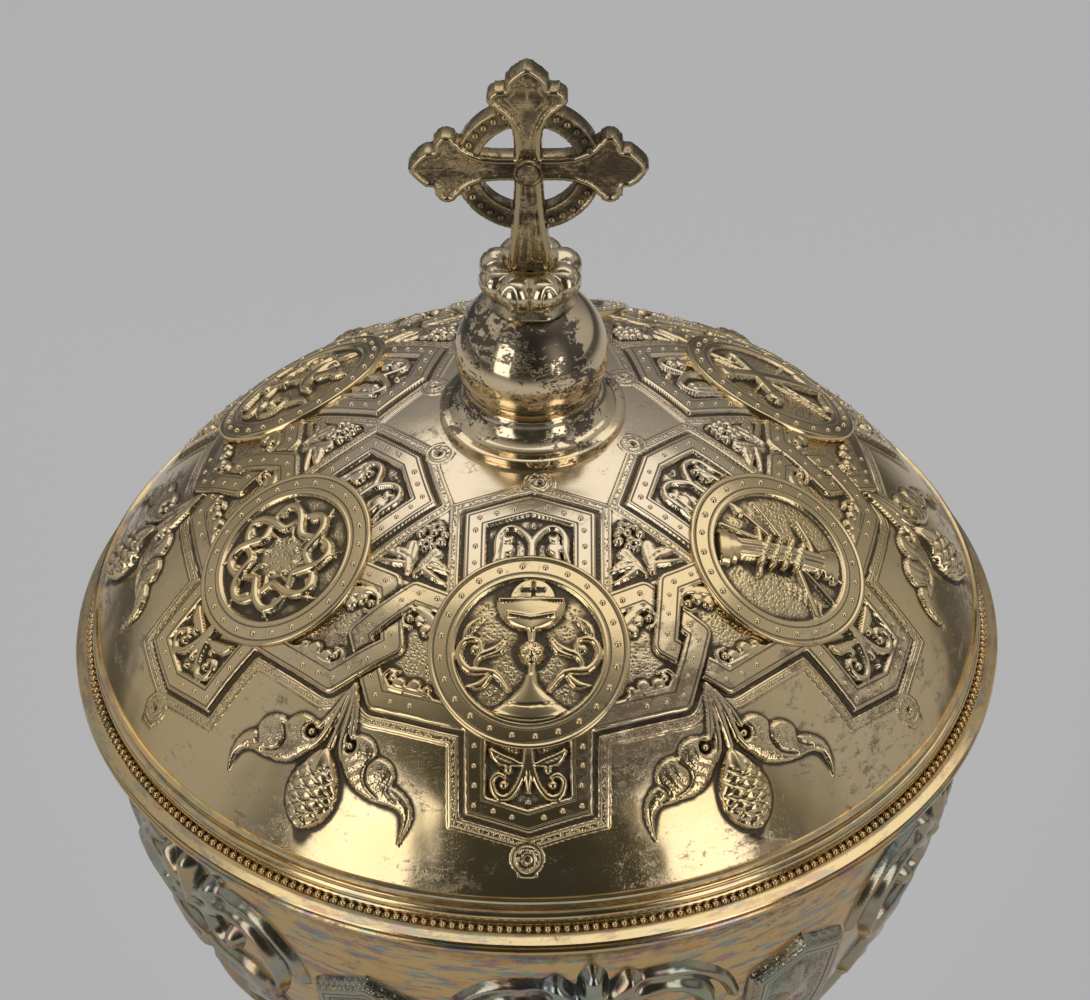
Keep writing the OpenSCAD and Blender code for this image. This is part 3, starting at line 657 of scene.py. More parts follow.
# ---------------------------------------------------------------- the medallions' reliefs
def chalice(r, u, v):
    for side in (-1, 1):
        across = side * u
        scroll = spline([(2.6, -5.4, 0.35), (4.6, -3.0, 0.55), (7.6, -2.6, 0.6), (9.0, -0.6, 0.55),
                         (8.2, 1.4, 0.5), (6.4, 1.3, 0.45), (6.1, -0.1, 0.45)], 3)
        leaf = spline([(6.9, -2.8, 0.3), (6.4, -0.9, 0.5), (3.9, 0.0, 0.8), (2.9, 1.5, 0.35)], 3)
        sprout = spline([(8.4, 1.0, 0.3), (7.6, 3.0, 0.75), (5.9, 4.4, 0.35)], 3)
        tail = spline([(4.6, -3.0, 0.3), (6.2, -4.6, 0.65), (7.9, -4.7, 0.25)], 3)
        body = np.minimum(stroke(across, v, scroll), disc(across, v, 6.9, 0.1, 0.7))
        for path in (leaf, sprout, tail):
            body = np.minimum(body, stroke(across, v, path))
        r.raised(body, 0.6, 0.5, base=0.12)
        r.groove(stroke(across, v, spline([(8.0, 1.6, 0.03), (7.2, 3.0, 0.03), (6.2, 4.2, 0.03)])), 0.2)
        r.groove(stroke(across, v, spline([(6.1, -0.9, 0.03), (4.2, -0.2, 0.03), (3.0, 1.2, 0.03)])), 0.2)
    host = np.maximum(disc(u, v, 0.5, 6.6, 3.05), 6.5 - v)
    r.raised(host, 0.75, 0.3, base=0.1)
    for path in ([(-0.9, 7.9, 0.16), (1.9, 7.9, 0.16)], [(0.5, 6.9, 0.16), (0.5, 9.1, 0.16)]):
        r.groove(stroke(u, v, path), 0.35)
    t = np.clip((6.9 - v) / 4.4, 0, 1)
    bowl_w = 4.15 * np.sqrt(1 - t**2.2) + 0.35
    bowl = np.where((v < 6.9) & (v > 2.4), np.abs(u - 0.3) - bowl_w, 2.0)
    q = np.clip(np.abs(u - 0.3) / bowl_w, 0, 1)
    r.high = np.where(bowl < 0, np.maximum(r.high, 0.35 + 1.0 * np.sqrt(1 - q * q)), r.high)
    r.matte = np.where(bowl < 0, 0.0, r.matte)
    r.raised(stroke(u, v, [(-3.7, 6.6, 0.3), (4.3, 6.6, 0.3)]), 0.4, 0.3, base=1.0)
    r.raised(stroke(u, v, [(-2.6, 4.6, 0.28), (0.3, 4.1, 0.28), (3.2, 4.6, 0.28)]), 0.3, 0.28, base=1.2)
    r.raised(stroke(u, v, [(0.4, 2.6, 0.75), (0.4, 1.4, 0.6), (0.45, -2.6, 0.6), (0.45, -4.2, 0.8)]), 0.8,
        0.6, base=0.2)
    r.raised(disc(u, v, 0.4, -0.5, 1.8), 1.1, 1.5, base=0.3)
    for k in range(6):
        a = k * math.pi / 3
        r.raised(disc(u, v, 0.4 + 1.1 * math.cos(a), -0.5 + 1.1 * math.sin(a), 0.4), 0.4, 0.4, base=1.15)
    r.raised(disc(u, v, 0.4, -0.5, 0.45), 0.4, 0.4, base=1.4)
    t = np.clip((-3.6 - v) / 5.0, 0, 1)
    foot_w = 0.7 + 5.3 * t**1.7
    foot = np.where((v < -3.4) & (v > -9.9), np.maximum(np.abs(u - 0.3) - foot_w,
        -(v + 9.3 - 0.04 * (u - 0.3) ** 2)), 2.0)
    q = np.clip(np.abs(u - 0.3) / foot_w, 0, 1)
    r.high = np.where(foot < 0, np.maximum(r.high, 0.25 + 0.85 * np.sqrt(1 - 0.9 * q * q)), r.high)
    r.matte = np.where(foot < 0, 0.0, r.matte)
    r.groove(np.where(foot < 0.2, stroke(u, v, [(-4.4, -7.0, 0.04), (0.3, -7.6, 0.04), (5, -7.0, 0.04)]),
        9.0), 0.25)
    r.raised(stroke(u, v, spline([(-5.2, -8.3, 0.32), (0.3, -9.2, 0.4), (5.8, -8.3, 0.32)])), 0.5, 0.35,
        base=0.6)


def pillar(r, u, v):
    """A fluted pillar bound with rope across two crossed rods and a spear."""
    for path in (
        [(-3.4, -9.0, 0.5), (1.8, 0.0, 0.5), (3.9, 7.4, 0.3)],
        [(4.2, -8.6, 0.25), (1.6, -2.0, 0.4), (-2.6, 8.6, 0.45)],
        [(0.4, -9.3, 0.4), (0.9, 0, 0.4), (1.2, 8.0, 0.4)],
    ):
        r.raised(stroke(u, v, path), 0.5, 0.45, base=0.15)
    r.raised(stroke(u, v, [(1.2, 8.0, 0.9), (1.25, 9.8, 0.12)]), 0.5, 0.6, base=0.2)
    for k in range(7):
        for side in (-1, 1):
            x0, y0 = -2.6 + k * 0.18, -3.4 - k * 0.8
            r.raised(stroke(u, v, [(x0, y0, 0.3), (x0 + side * 1.0, y0 - 0.9, 0.12)]), 0.4, 0.3, base=0.2)
    ax, ay = 10.5, -13.0
    length = math.hypot(ax, ay)
    ax, ay = ax / length, ay / length
    along = (u + 5.5) * ax + (v - 6.5) * ay
    across = (u + 5.5) * -ay + (v - 6.5) * ax
    half = 1.7 + 0.5 * smooth_step(2.2, 1.6, along) + 0.5 * smooth_step(14.2, 14.8, along)
    half = half + 0.55 * smooth_step(0.9, 0.7, along) + 0.45 * smooth_step(15.6, 15.8, along)
    q = np.clip(np.abs(across) / half, 0, 1)
    shaft = (np.abs(across) < half) & (along > -0.6) & (along < 16.8)
    flutes = 0.12 * np.cos(np.arcsin(np.clip(q, 0, 1)) * 9.0) * (along > 2) * (along < 14.4)
    r.high = np.where(shaft, 0.35 + 1.15 * np.sqrt(1 - q * q) + flutes, r.high)
    r.matte = np.where(shaft, 0.0, r.matte)
    for k in range(4):
        s = 5.0 + 1.7 * k
        band = stroke(along, across, [(s, -2.0, 0.42), (s + 1.5, 2.0, 0.42)])
        r.raised(band, 0.4, 0.4, base=1.35)
        r.groove(np.where(band < 0, np.abs(np.mod(along * 1.6 + across * 1.1, 1.0) - 0.5) - 0.1, 9.0), 0.2,
            0.1)
    for path in ([(-5.0, 0.6, 0.45), (-2.0, 2.4, 0.4), (0.4, 4.4, 0.4)],
            [(1.6, -5.4, 0.4), (4.4, -2.2, 0.4), (6.0, 1.2, 0.45)]):
        r.raised(stroke(u, v, spline(path)), 0.45, 0.4, base=0.6)


def thorns(r, u, v):
    """A plaited ring of thorns."""
    cx, cy, mean, loops = -0.2, -0.4, 6.0, 8
    a = np.linspace(0, 2 * math.pi, 145)
    for phase in (0.0, math.pi):
        rad = mean + 1.75 * np.cos(a * loops / 2 + phase)
        path = np.stack([cx + rad * np.cos(a), cy + rad * np.sin(a), np.full(a.shape, 0.62)], -1)
        d = stroke(u, v, path)
        ang = np.arctan2(v - cy, u - cx)
        lift = 0.25 * np.cos(ang * loops / 2 + phase + math.pi / 2)
        top = 0.45 + lift + 0.55 * np.sqrt(np.clip(1 - (1 + np.minimum(d, 0) / 0.62) ** 2, 0, 1))
        hit = d < 0
        r.high = np.where(hit, np.maximum(r.high, top), r.high)
        r.matte = np.where(hit, 0.0, r.matte)
    for k in range(16):
        t = 2 * math.pi * (k + 0.35) / 16
        lean = 0.28 if k % 2 else -0.22
        inner, outer = (6.9, 9.5) if k % 2 else (6.6, 8.9)
        r.raised(stroke(u, v, [(cx + inner * math.cos(t), cy + inner * math.sin(t), 0.5),
            (cx + outer * math.cos(t + lean), cy + outer * math.sin(t + lean), 0.1)]), 0.45, 0.4, base=0.2)
        if k % 2:
            r.raised(stroke(u, v, [(cx + 4.6 * math.cos(t), cy + 4.6 * math.sin(t), 0.45),
                (cx + 2.9 * math.cos(t - lean), cy + 2.9 * math.sin(t - lean), 0.1)]), 0.4, 0.4, base=0.2)
    for k in range(8):
        t = 2 * math.pi * (k + 0.5) / 8
        r.raised(disc(u, v, cx + 2.6 * math.cos(t), cy + 2.6 * math.sin(t), 0.5), 0.4, 0.45, base=0.1)


def cross_and_ladder(r, u, v):
    """A plain cross before a ladder and a lance."""
    for off in (-0.9, 0.9):
        r.raised(stroke(u, v, [(-6.4 + off, -6.2, 0.32), (5.4 + off, 7.4, 0.32)]), 0.4, 0.3, base=0.1)
    for k in range(9):
        t = k / 8
        x0, y0 = -5.9 + 10.6 * t, -5.6 + 12.2 * t
        r.raised(stroke(u, v, [(x0 - 0.9, y0 + 0.1, 0.22), (x0 + 0.9, y0 - 0.1, 0.22)]), 0.3, 0.22, base=0.1)
    r.raised(stroke(u, v, [(6.2, -6.6, 0.3), (-4.8, 7.4, 0.3)]), 0.4, 0.3, base=0.2)
    r.raised(stroke(u, v, [(-4.8, 7.2, 0.8), (-6.0, 8.7, 0.1)]), 0.4, 0.5, base=0.25)
    r.raised(stroke(u, v, [(0, -8.8, 0.95), (0, 9.0, 0.95)]), 0.6, 0.4, base=0.5)
    r.raised(stroke(u, v, [(-5.4, 3.4, 0.9), (5.4, 3.4, 0.9)]), 0.6, 0.4, base=0.5)
    for cx, cy in ((-5.4, 3.4), (5.4, 3.4), (0, 8.8)):
        r.raised(disc(u, v, cx, cy, 1.25), 0.7, 0.7, base=0.5)
    r.raised(stroke(u, v, spline([(-4.2, -8.0, 0.8), (0, -9.0, 1.0), (4.2, -8.0, 0.8)])), 0.6, 0.8, base=0.2)


def wheat(r, u, v):
    """A sheaf of five ears of wheat tied with a ribbon."""
    for k in range(-2, 3):
        top_u, top_v = 2.9 * k, 8.6 - 0.75 * k * k
        r.raised(stroke(u, v, spline([(-0.9 * k, -8.6, 0.25), (0.12 * k, -3, 0.28), (1.1 * k, 2.0, 0.28),
            (top_u * 0.8, top_v - 3.4, 0.28)])), 0.4, 0.28, base=0.15)
        dx, dy = 0.22 * k, 1.0
        n = math.hypot(dx, dy)
        dx, dy = dx / n, dy / n
        for j in range(5):
            px, py = top_u - dx * (5.2 - 1.15 * j), top_v - dy * (5.2 - 1.15 * j)
            for side in (-1, 1):
                r.raised(stroke(u, v, [(px + side * 0.2, py, 0.42),
                    (px + side * 0.85 + dx * 0.8, py + dy * 0.9, 0.2)]), 0.55, 0.4, base=0.3)
        r.raised(stroke(u, v, [(top_u - dx * 0.4, top_v - dy * 0.4, 0.42),
            (top_u + dx * 0.5, top_v + dy * 0.5, 0.1)]), 0.5, 0.4, base=0.35)
    r.raised(stroke(u, v, [(-1.9, -3.2, 0.55), (1.9, -3.2, 0.55)]), 0.5, 0.5, base=0.5)
    for side in (-1, 1):
        across = side * u
        r.raised(stroke(across, v, spline([(0, -3.2, 0.4), (3.2, -2.0, 0.7), (5.4, -3.6, 0.5),
            (4.0, -5.2, 0.4), (1.0, -3.8, 0.4)])), 0.5, 0.45, base=0.3)
        r.raised(stroke(across, v, spline([(0.3, -3.6, 0.4), (2.2, -5.8, 0.5), (4.6, -7.6, 0.3)])), 0.4,
            0.4, base=0.3)


def lamp_and_scrolls(r, u, v):
    """A standing lamp with a flame between two scrolled branches."""
    r.raised(stroke(u, v, [(0, -7.6, 0.8), (0, 2.6, 0.65)]), 0.7, 0.6, base=0.3)
    r.raised(stroke(u, v, [(-3.6, -8.2, 0.7), (3.6, -8.2, 0.7)]), 0.6, 0.6, base=0.3)
    for cy, w in ((-5.8, 1.7), (-2.0, 1.4), (1.6, 1.6)):
        r.raised(stroke(u, v, [(-w * 0.5, cy, 0.6), (w * 0.5, cy, 0.6)]), 0.6, 0.5, base=0.6)
    r.raised(stroke(u, v, spline([(-3.6, 4.6, 0.4), (-2.4, 3.2, 0.9), (0, 2.8, 1.0), (2.4, 3.2, 0.9),
        (3.6, 4.6, 0.4)])), 0.8, 0.8, base=0.4)
    r.raised(stroke(u, v, spline([(0.1, 4.4, 1.1), (-0.3, 6.2, 1.0), (0.4, 7.6, 0.6), (0.1, 9.2, 0.1)])),
        0.8, 0.7, base=0.3)
    for side in (-1, 1):
        r.raised(stroke(u, v, spiral(side * 5.6, -0.6, 2.9, 0.5, 250 if side > 0 else -70, side * 1.4, 0.55,
            0.4)), 0.6, 0.5, base=0.15)
        r.raised(stroke(u, v, spline([(side * 0.6, -4.2, 0.4), (side * 3.0, -4.6, 0.5),
            (side * 4.6, -3.3, 0.5)])), 0.6, 0.5, base=0.15)
        r.raised(stroke(u, v, spline([(side * 6.6, 2.2, 0.3), (side * 5.6, 4.0, 0.8),
            (side * 6.4, 6.0, 0.2)])), 0.6, 0.6, base=0.15)
        r.raised(stroke(u, v, spline([(side * 5.4, -3.9, 0.3), (side * 6.8, -5.0, 0.7),
            (side * 6.6, -6.6, 0.2)])), 0.6, 0.6, base=0.15)


MEDALLION_SCENES = (chalice, pillar, cross_and_ladder, wheat, lamp_and_scrolls, thorns)
RING_H, FIELD_H = 0.95, 0.25
PLATE_BACK = -0.5
RIM_PEARLS, RIM_PEARL_RING_R, RIM_PEARL_H = 24, 11.45, RING_H - 0.17
STRAP_PEARL_H = 0.37


def medallion_piece(number):
    """A round plate on the dome: rim, band, moulding and a raised scene on a matted field."""
    motif = MEDALLION_SCENES[number - 1]
    rows = [(MEDALLION_R, 448), (12.85, 448), (12.62, 448)]
    r = 12.44
    while r > 0.3:
        rows.append((r, 448 if r > 6.5 else 224 if r > 3.0 else 112))
        r -= (0.18 if r < 10.4 else 0.26) * FINE
    radius = np.concatenate([np.full(int(c / FINE), q) for q, c in rows] + [np.zeros(1)])
    angle = np.concatenate([np.linspace(0, 2 * math.pi, int(c / FINE), endpoint=False) for _, c in rows]
        + [np.zeros(1)])
    turn = SECTOR_A * (number - 1)
    u, v = radius * np.sin(angle), radius * np.cos(angle)
    wob = 0.06 * value_noise(u + 7 * number, v, 4.0, 31)
    relief = Relief(radius.shape)
    relief.high[:] = FIELD_H
    relief.matte[:] = 1.0
    inner = radius < 9.9
    cut = Relief(int(inner.sum()))
    cut.matte[:] = 1.0
    motif(cut, (u + wob)[inner], (v + wob)[inner])
    relief.high[inner] = FIELD_H - 0.05 + 0.92 * cut.high
    relief.matte[inner] = cut.matte
    relief.high = np.where(radius > 9.55, FIELD_H + 0.6 * np.sqrt(np.clip(1 - ((radius - 9.95) / 0.42) ** 2,
        0, 1)), relief.high)
    relief.high = np.where(radius > 10.25, RING_H - 0.12, relief.high)
    relief.high = np.where(radius > 12.5, RING_H - 0.12 + 0.14 * smooth_step(12.5, 12.62, radius),
        relief.high)
    relief.high = np.where(radius > 12.95, RING_H - 0.12, relief.high)
    relief.matte = np.where(radius > 9.55, 0.0, relief.matte)
    relief.edge = np.where((radius > 10.3) & (radius < 12.55), np.minimum(radius - 10.0, 12.85 - radius), 0.0)
    relief.hollow = np.zeros(radius.shape)
    start = 0
    for width in (448, 224, 112):
        group = [int(c / FINE) for _, c in rows if c == width]
        count = sum(group)
        field = relief.high[start:start + count].reshape(len(group), -1)
        reach = 4.0 / FINE
        relief.hollow[start:start + count] = (0.8 * (field - blurred(field, reach, reach, True))
                                       + 0.15 * (field - blurred(field, 3 * reach, 3 * reach, True))).ravel()
        start += count
    points = place_on_dome(from_chart(FIELD_CHART, u, v), relief.high)
    faces, start, rings = [], 0, []
    for _, c in rows:
        c = int(c / FINE)
        rings.append(np.concatenate([start + np.arange(c), [start]]))
        start += c
    centre = start
    for a, b in zip(rings[:-1], rings[1:]):
        if len(a) == len(b):
            faces.append(np.stack([a[:-1], b[:-1], b[1:], a[1:]], -1))
        else:
            faces.append(zip_rows(a, b))
    faces.append(np.stack([rings[-1][:-1], np.full(len(rings[-1]) - 1, centre), rings[-1][1:]], -1))
    # side wall and closed back
    n_top = len(points)
    edge_angle = angle[: int(448 / FINE)]
    wall_unit = from_chart(FIELD_CHART, MEDALLION_R * np.sin(edge_angle), MEDALLION_R * np.cos(edge_angle))
    wall = place_on_dome(wall_unit, np.full(len(edge_angle), PLATE_BACK))
    back = place_on_dome(from_chart(FIELD_CHART, np.zeros(1), np.zeros(1)), np.full(1, PLATE_BACK))
    wall_ring = np.concatenate([n_top + np.arange(len(edge_angle)), [n_top]])
    faces.append(np.stack([rings[0][:-1], rings[0][1:], wall_ring[1:], wall_ring[:-1]], -1))
    back_index = n_top + len(edge_angle)
    faces.append(np.stack([wall_ring[:-1], wall_ring[1:], np.full(len(edge_angle), back_index)], -1))
    points = np.concatenate([points, wall, back])
    layers = shader_layers((relief,), len(points) - n_top)
    return mesh_object(f"medallion_plate_{number}", turned_about_z(points, turn), faces, layers, 75)


# ---------------------------------------------------------------- beads set by Geometry Nodes
def with_settings(node, settings):
    for key, value in settings.items():
        setattr(node, key, value)
    return node


def bead_tree():
    """Sets a bead on every point of a mesh, turned to its 'axis' and sized by its 'size'."""
    tree = bpy.data.node_groups.new("set_beads", "GeometryNodeTree")
    face = tree.interface
    face.new_socket("Points", in_out="INPUT", socket_type="NodeSocketGeometry")
    for name, kind, default in (("Bead Radius", "NodeSocketFloat", 0.0004),
            ("Flatness", "NodeSocketFloat", 0.8), ("Size Spread", "NodeSocketFloat", 0.06),
            ("Seed", "NodeSocketInt", 7)):
        face.new_socket(name, in_out="INPUT", socket_type=kind).default_value = default
    face.new_socket("Metal", in_out="INPUT", socket_type="NodeSocketMaterial")
    face.new_socket("Beads", in_out="OUTPUT", socket_type="NodeSocketGeometry")

    def node(kind, **settings):
        return with_settings(tree.nodes.new(kind), settings)

    given, out = node("NodeGroupInput"), node("NodeGroupOutput")
    to_points = node("GeometryNodeMeshToPoints")
    bead = node("GeometryNodeMeshUVSphere")
    bead.inputs["Segments"].default_value = 8
    bead.inputs["Rings"].default_value = 5
    axis = node("GeometryNodeInputNamedAttribute", data_type="FLOAT_VECTOR")
    axis.inputs["Name"].default_value = "axis"
    size = node("GeometryNodeInputNamedAttribute", data_type="FLOAT")
    size.inputs["Name"].default_value = "size"
    align = node("FunctionNodeAlignRotationToVector", axis="Z")
    spread = node("FunctionNodeRandomValue", data_type="FLOAT")
    low = node("ShaderNodeMath", operation="SUBTRACT")
    high = node("ShaderNodeMath", operation="ADD")
    scaled = node("ShaderNodeMath", operation="MULTIPLY")
    flat = node("ShaderNodeMath", operation="MULTIPLY")
    scale = node("ShaderNodeCombineXYZ")
    instances = node("GeometryNodeInstanceOnPoints")
    real = node("GeometryNodeRealizeInstances")
    smooth = node("GeometryNodeSetShadeSmooth")
    metal = node("GeometryNodeSetMaterial")
    low.inputs[0].default_value = 1.0
    high.inputs[0].default_value = 1.0
    for source, output, target, entry in (
        (given, "Points", to_points, "Mesh"),
        (given, "Bead Radius", bead, "Radius"),
        (given, "Size Spread", low, 1),
        (given, "Size Spread", high, 1),
        (low, 0, spread, 2),
        (high, 0, spread, 3),
        (given, "Seed", spread, "Seed"),
        (spread, 1, scaled, 0),
        (size, 0, scaled, 1),
        (scaled, 0, flat, 0),
        (given, "Flatness", flat, 1),
        (scaled, 0, scale, "X"),
        (scaled, 0, scale, "Y"),
        (flat, 0, scale, "Z"),
        (axis, 0, align, "Vector"),
        (to_points, "Points", instances, "Points"),
        (bead, "Mesh", instances, "Instance"),
        (align, 0, instances, "Rotation"),
        (scale, 0, instances, "Scale"),
        (instances, "Instances", real, "Geometry"),
        (real, "Geometry", smooth, 0),
        (smooth, 0, metal, "Geometry"),
        (given, "Metal", metal, "Material"),
        (metal, "Geometry", out, "Beads"),
    ):
        tree.links.new(source.outputs[output], target.inputs[entry])
    return tree


BEADS = bead_tree()


def set_beads(name, points, axes, radius, flatness, spread, seed, metal):
    """Beads at points in millimetres, each turned to its axis, as one plain mesh."""
    mesh = bpy.data.meshes.new(name + "_places")
    mesh.from_pydata([tuple(p) for p in np.asarray(points) * MM], [], [])
    item = mesh.attributes.new("axis", "FLOAT_VECTOR", "POINT")
    item.data.foreach_set("vector", np.asarray(axes, np.float32).ravel())
    item = mesh.attributes.new("size", "FLOAT", "POINT")
    item.data.foreach_set("value", np.ones(len(points), np.float32))
    holder = bpy.data.objects.new(name + "_places", mesh)
    bpy.context.scene.collection.objects.link(holder)
    modifier = holder.modifiers.new("Set beads", "NODES")
    modifier.node_group = BEADS
    values = {"Bead Radius": radius * MM, "Flatness": flatness, "Size Spread": spread, "Seed": seed,
        "Metal": metal}
    for item in BEADS.interface.items_tree:
        if item.in_out == "INPUT" and item.name in values:
            modifier[item.identifier] = values[item.name]
    bpy.context.view_layer.update()
    evaluated = holder.evaluated_get(bpy.context.evaluated_depsgraph_get())
    result = bpy.data.objects.new(name, bpy.data.meshes.new_from_object(evaluated))
    holder.modifiers.remove(modifier)
    bpy.data.objects.remove(holder)
    bpy.context.scene.collection.objects.link(result)
    if not result.data.materials:
        result.data.materials.append(metal)
    return result


def walk(path, pitch, start=0.0):
    """Places every pitch along a path, kept off its corners' doubles."""
    path = np.array(path, float)
    seg = np.hypot(*(path[1:] - path[:-1]).T)
    total = np.concatenate([[0], np.cumsum(seg)])
    count = max(1, int(round((total[-1] - start) / pitch)))
    at = start + (total[-1] - start) * (np.arange(count) + 0.5) / count
    return np.interp(at, total, path[:, 0]), np.interp(at, total, path[:, 1])


def strap_pearls():
    """Pearls along the middle of every strap on the dome."""
    half_top, half_low, mid = PANEL_HALF_TOP + PANEL_BAND / 2, PANEL_HALF_LOW + PANEL_BAND / 2, PANEL_BAND / 2
    rise = mid * math.hypot(1, PANEL_SLOPE)
    rng = np.random.default_rng(5)
    points, axes = [], []
    for k in range(SECTORS):
        turn = SECTOR_A * k
        chart = dome_chart(turn, MEDALLION_RING_R)
        for sign, half, end in ((1, half_top, PANEL_END_TOP), (-1, half_low, PANEL_END_LOW)):
            corner = end + rise - PANEL_SLOPE * half
            for flip in (-1, 1):
                path = [(flip * 0.9, sign * (end + rise - PANEL_SLOPE * 0.9)), (flip * half, sign * corner),
                    (flip * half, sign * 11.2)]
                u, v = walk(path, 2.55)
                keep = np.hypot(u, v) > 13.5
                u, v = u[keep] + rng.normal(0, 0.06, keep.sum()), v[keep] + rng.normal(0, 0.06, keep.sum())
                unit = from_chart(chart, u, v)
                points.append(place_on_dome(unit, np.full(len(u), STRAP_PEARL_H)))
                axes.append(unit)
        for flip in (-1, 1):
            crossing = dome_chart(turn + flip * SECTOR_A / 2, CROSSING_RING_R)
            x, y = walk(BRACKET[1:-1], 2.75, 0.5)
            over_top = flip < 0
            crossed = np.hypot(x, y - (-0.2 if over_top else 7.1)) < 2.3
            x, y = x[~crossed] + rng.normal(0, 0.06, (~crossed).sum()), y[~crossed] + rng.normal(0, 0.06,
                (~crossed).sum())
            unit = from_chart(crossing, flip * x, y)
            field_u, field_v = to_chart(chart, unit)
            keep = np.hypot(field_u, field_v) > 13.5
            unit = unit[keep]
            points.append(place_on_dome(unit, np.full(len(unit), STRAP_PEARL_H)))
            axes.append(unit)
    return np.concatenate(points), np.concatenate(axes)


def rim_pearls(number):
    """Evenly spaced pearls on a medallion's rim."""
    chart = dome_chart(SECTOR_A * (number - 1), MEDALLION_RING_R)
    a = np.radians(360.0 / RIM_PEARLS * np.arange(RIM_PEARLS) + 7.5 + 3 * number)
    unit = from_chart(chart, RIM_PEARL_RING_R * np.sin(a), RIM_PEARL_RING_R * np.cos(a))
    return place_on_dome(unit, np.full(RIM_PEARLS, RIM_PEARL_H)), unit


def ring_of_beads(count, ring_r, z, tilt):
    """Places round a circle, their axes outwards and tilted up by some degrees."""
    a = np.linspace(0, 2 * math.pi, count, endpoint=False)
    out = np.stack([np.sin(a), -np.cos(a), np.zeros(count)], -1)
    t = math.radians(tilt)
    axes = out * math.cos(t) + np.array([0, 0, math.sin(t)])
    return out * ring_r + np.array([0, 0, z]), axes


# ---------------------------------------------------------------- the flat cast cross
def cross_outline(x, z):
    """Distance to the cross's outline about its crossing, negative inside."""
    best = np.full(x.shape, 1e3)
    for turn in (-90, 0, 90):
        a = math.radians(turn)
        p, q = x * math.cos(a) - z * math.sin(a), x * math.sin(a) + z * math.cos(a)
        p = np.abs(p)
        arm = np.maximum(p - 1.8 - 0.35 * smooth_step(3.5, 7.5, q), np.maximum(-q, q - 9.0))
        flare = polygon(p, q, [(-1, 5.6), (1.9, 5.6), (2.25, 6.4), (2.75, 7.5), (3.35, 8.3), (4.2, 8.9),
            (4.2, 12.1), (2.9, 12.2), (-1, 12.3)])
        lobe = disc(p, q, 3.75, 10.5, 1.45)
        ogee = polygon(p, q, [(-1, 11.6), (3.3, 11.6), (2.9, 12.3), (2.75, 13.3), (2.1, 14.1), (1.3, 14.8),
            (0.6, 15.3), (0, 15.5), (-1, 15.4)])
        best = np.minimum(best, np.minimum(np.minimum(arm, flare), np.minimum(lobe, ogee)))
    down = np.clip(-z / 16.2, 0, 1)
    shaft = np.maximum(np.abs(x) - 1.8 - 1.25 * down**1.6, np.maximum(z, -z - 16.2))
    return np.minimum(best, shaft)


def edge_points(distance, reach, step):
    """Points where a distance changes sign, between neighbours of a square grid."""
    line = np.arange(-reach, reach + step, step)
    x, z = np.meshgrid(line, line)
    d = distance(x, z)
    found = []
    for axis in (0, 1):
        here, there = (d[:-1], d[1:]) if axis == 0 else (d[:, :-1], d[:, 1:])
        hit = here * there < 0
        share = (here / np.where(hit, here - there, 1.0))[hit] * step
        px, pz = (x[:-1], z[:-1]) if axis == 0 else (x[:, :-1], z[:, :-1])
        found.append(np.stack([px[hit] + (share if axis else 0), pz[hit] + (0 if axis else share)], -1))
    return np.concatenate(found)


CROSS_LEVEL, CROSS_RIM_H = 0.84, 0.95
CROSS_EDGE = edge_points(cross_outline, 16.6, 0.16)


def cross_depth(x, z):
    """The true distance to the cross's outline, negative inside."""
    near = np.full(x.shape, 1e9)
    for ex, ez in CROSS_EDGE:
        near = np.minimum(near, (x - ex) ** 2 + (z - ez) ** 2)
    near = np.sqrt(near)
    return np.where(cross_outline(x, z) < 0, -near, near)


def cross_face(x, z):
    """Distance to the outline of cross and ring, the face's height above its own edge, and matting."""
    d = cross_depth(x, z)
    ring = np.hypot(x, z)
    nimbus = np.abs(ring - 8.1) - 1.5
    whole = np.minimum(cross_outline(x, z), nimbus)
    rim = 0.35 + 0.85 * np.sqrt(np.clip(1 - (1 + d / 0.62) ** 2, 0, 1))
    field = 0.78 + 0.08 * value_noise(x, z, 1.4, 51)
    high = np.where(-d < 0.62, rim, field + (1.2 - field) * smooth_step(1.08, 0.7, -d))
    high = high + 0.12 * smooth_step(0.16, 0.05, np.abs(-d - 1.45)) * (ring > 2.4)
    vein = np.abs(np.sin(np.arctan2(np.minimum(np.abs(x), np.abs(z)),
        np.maximum(np.abs(x), np.abs(z)) - 8.0) * 4))
    high = high + np.where((ring > 9.0) & (d < -1.6), 0.14 * smooth_step(0.3, 0.05, vein), 0)
    on_ring = (d > 0) & (nimbus < 0)
    lip = np.clip(1 - ((-nimbus - 0.28) / 0.28) ** 2, 0, 1)
    high = np.where(on_ring, 0.74 + 0.22 * np.sqrt(lip) + 0.14 * smooth_step(0.2, 0.06, np.abs(ring - 7.3)),
        high)
    return whole, high, np.where(d < -1.0, 0.6, 0.0) * (~on_ring)


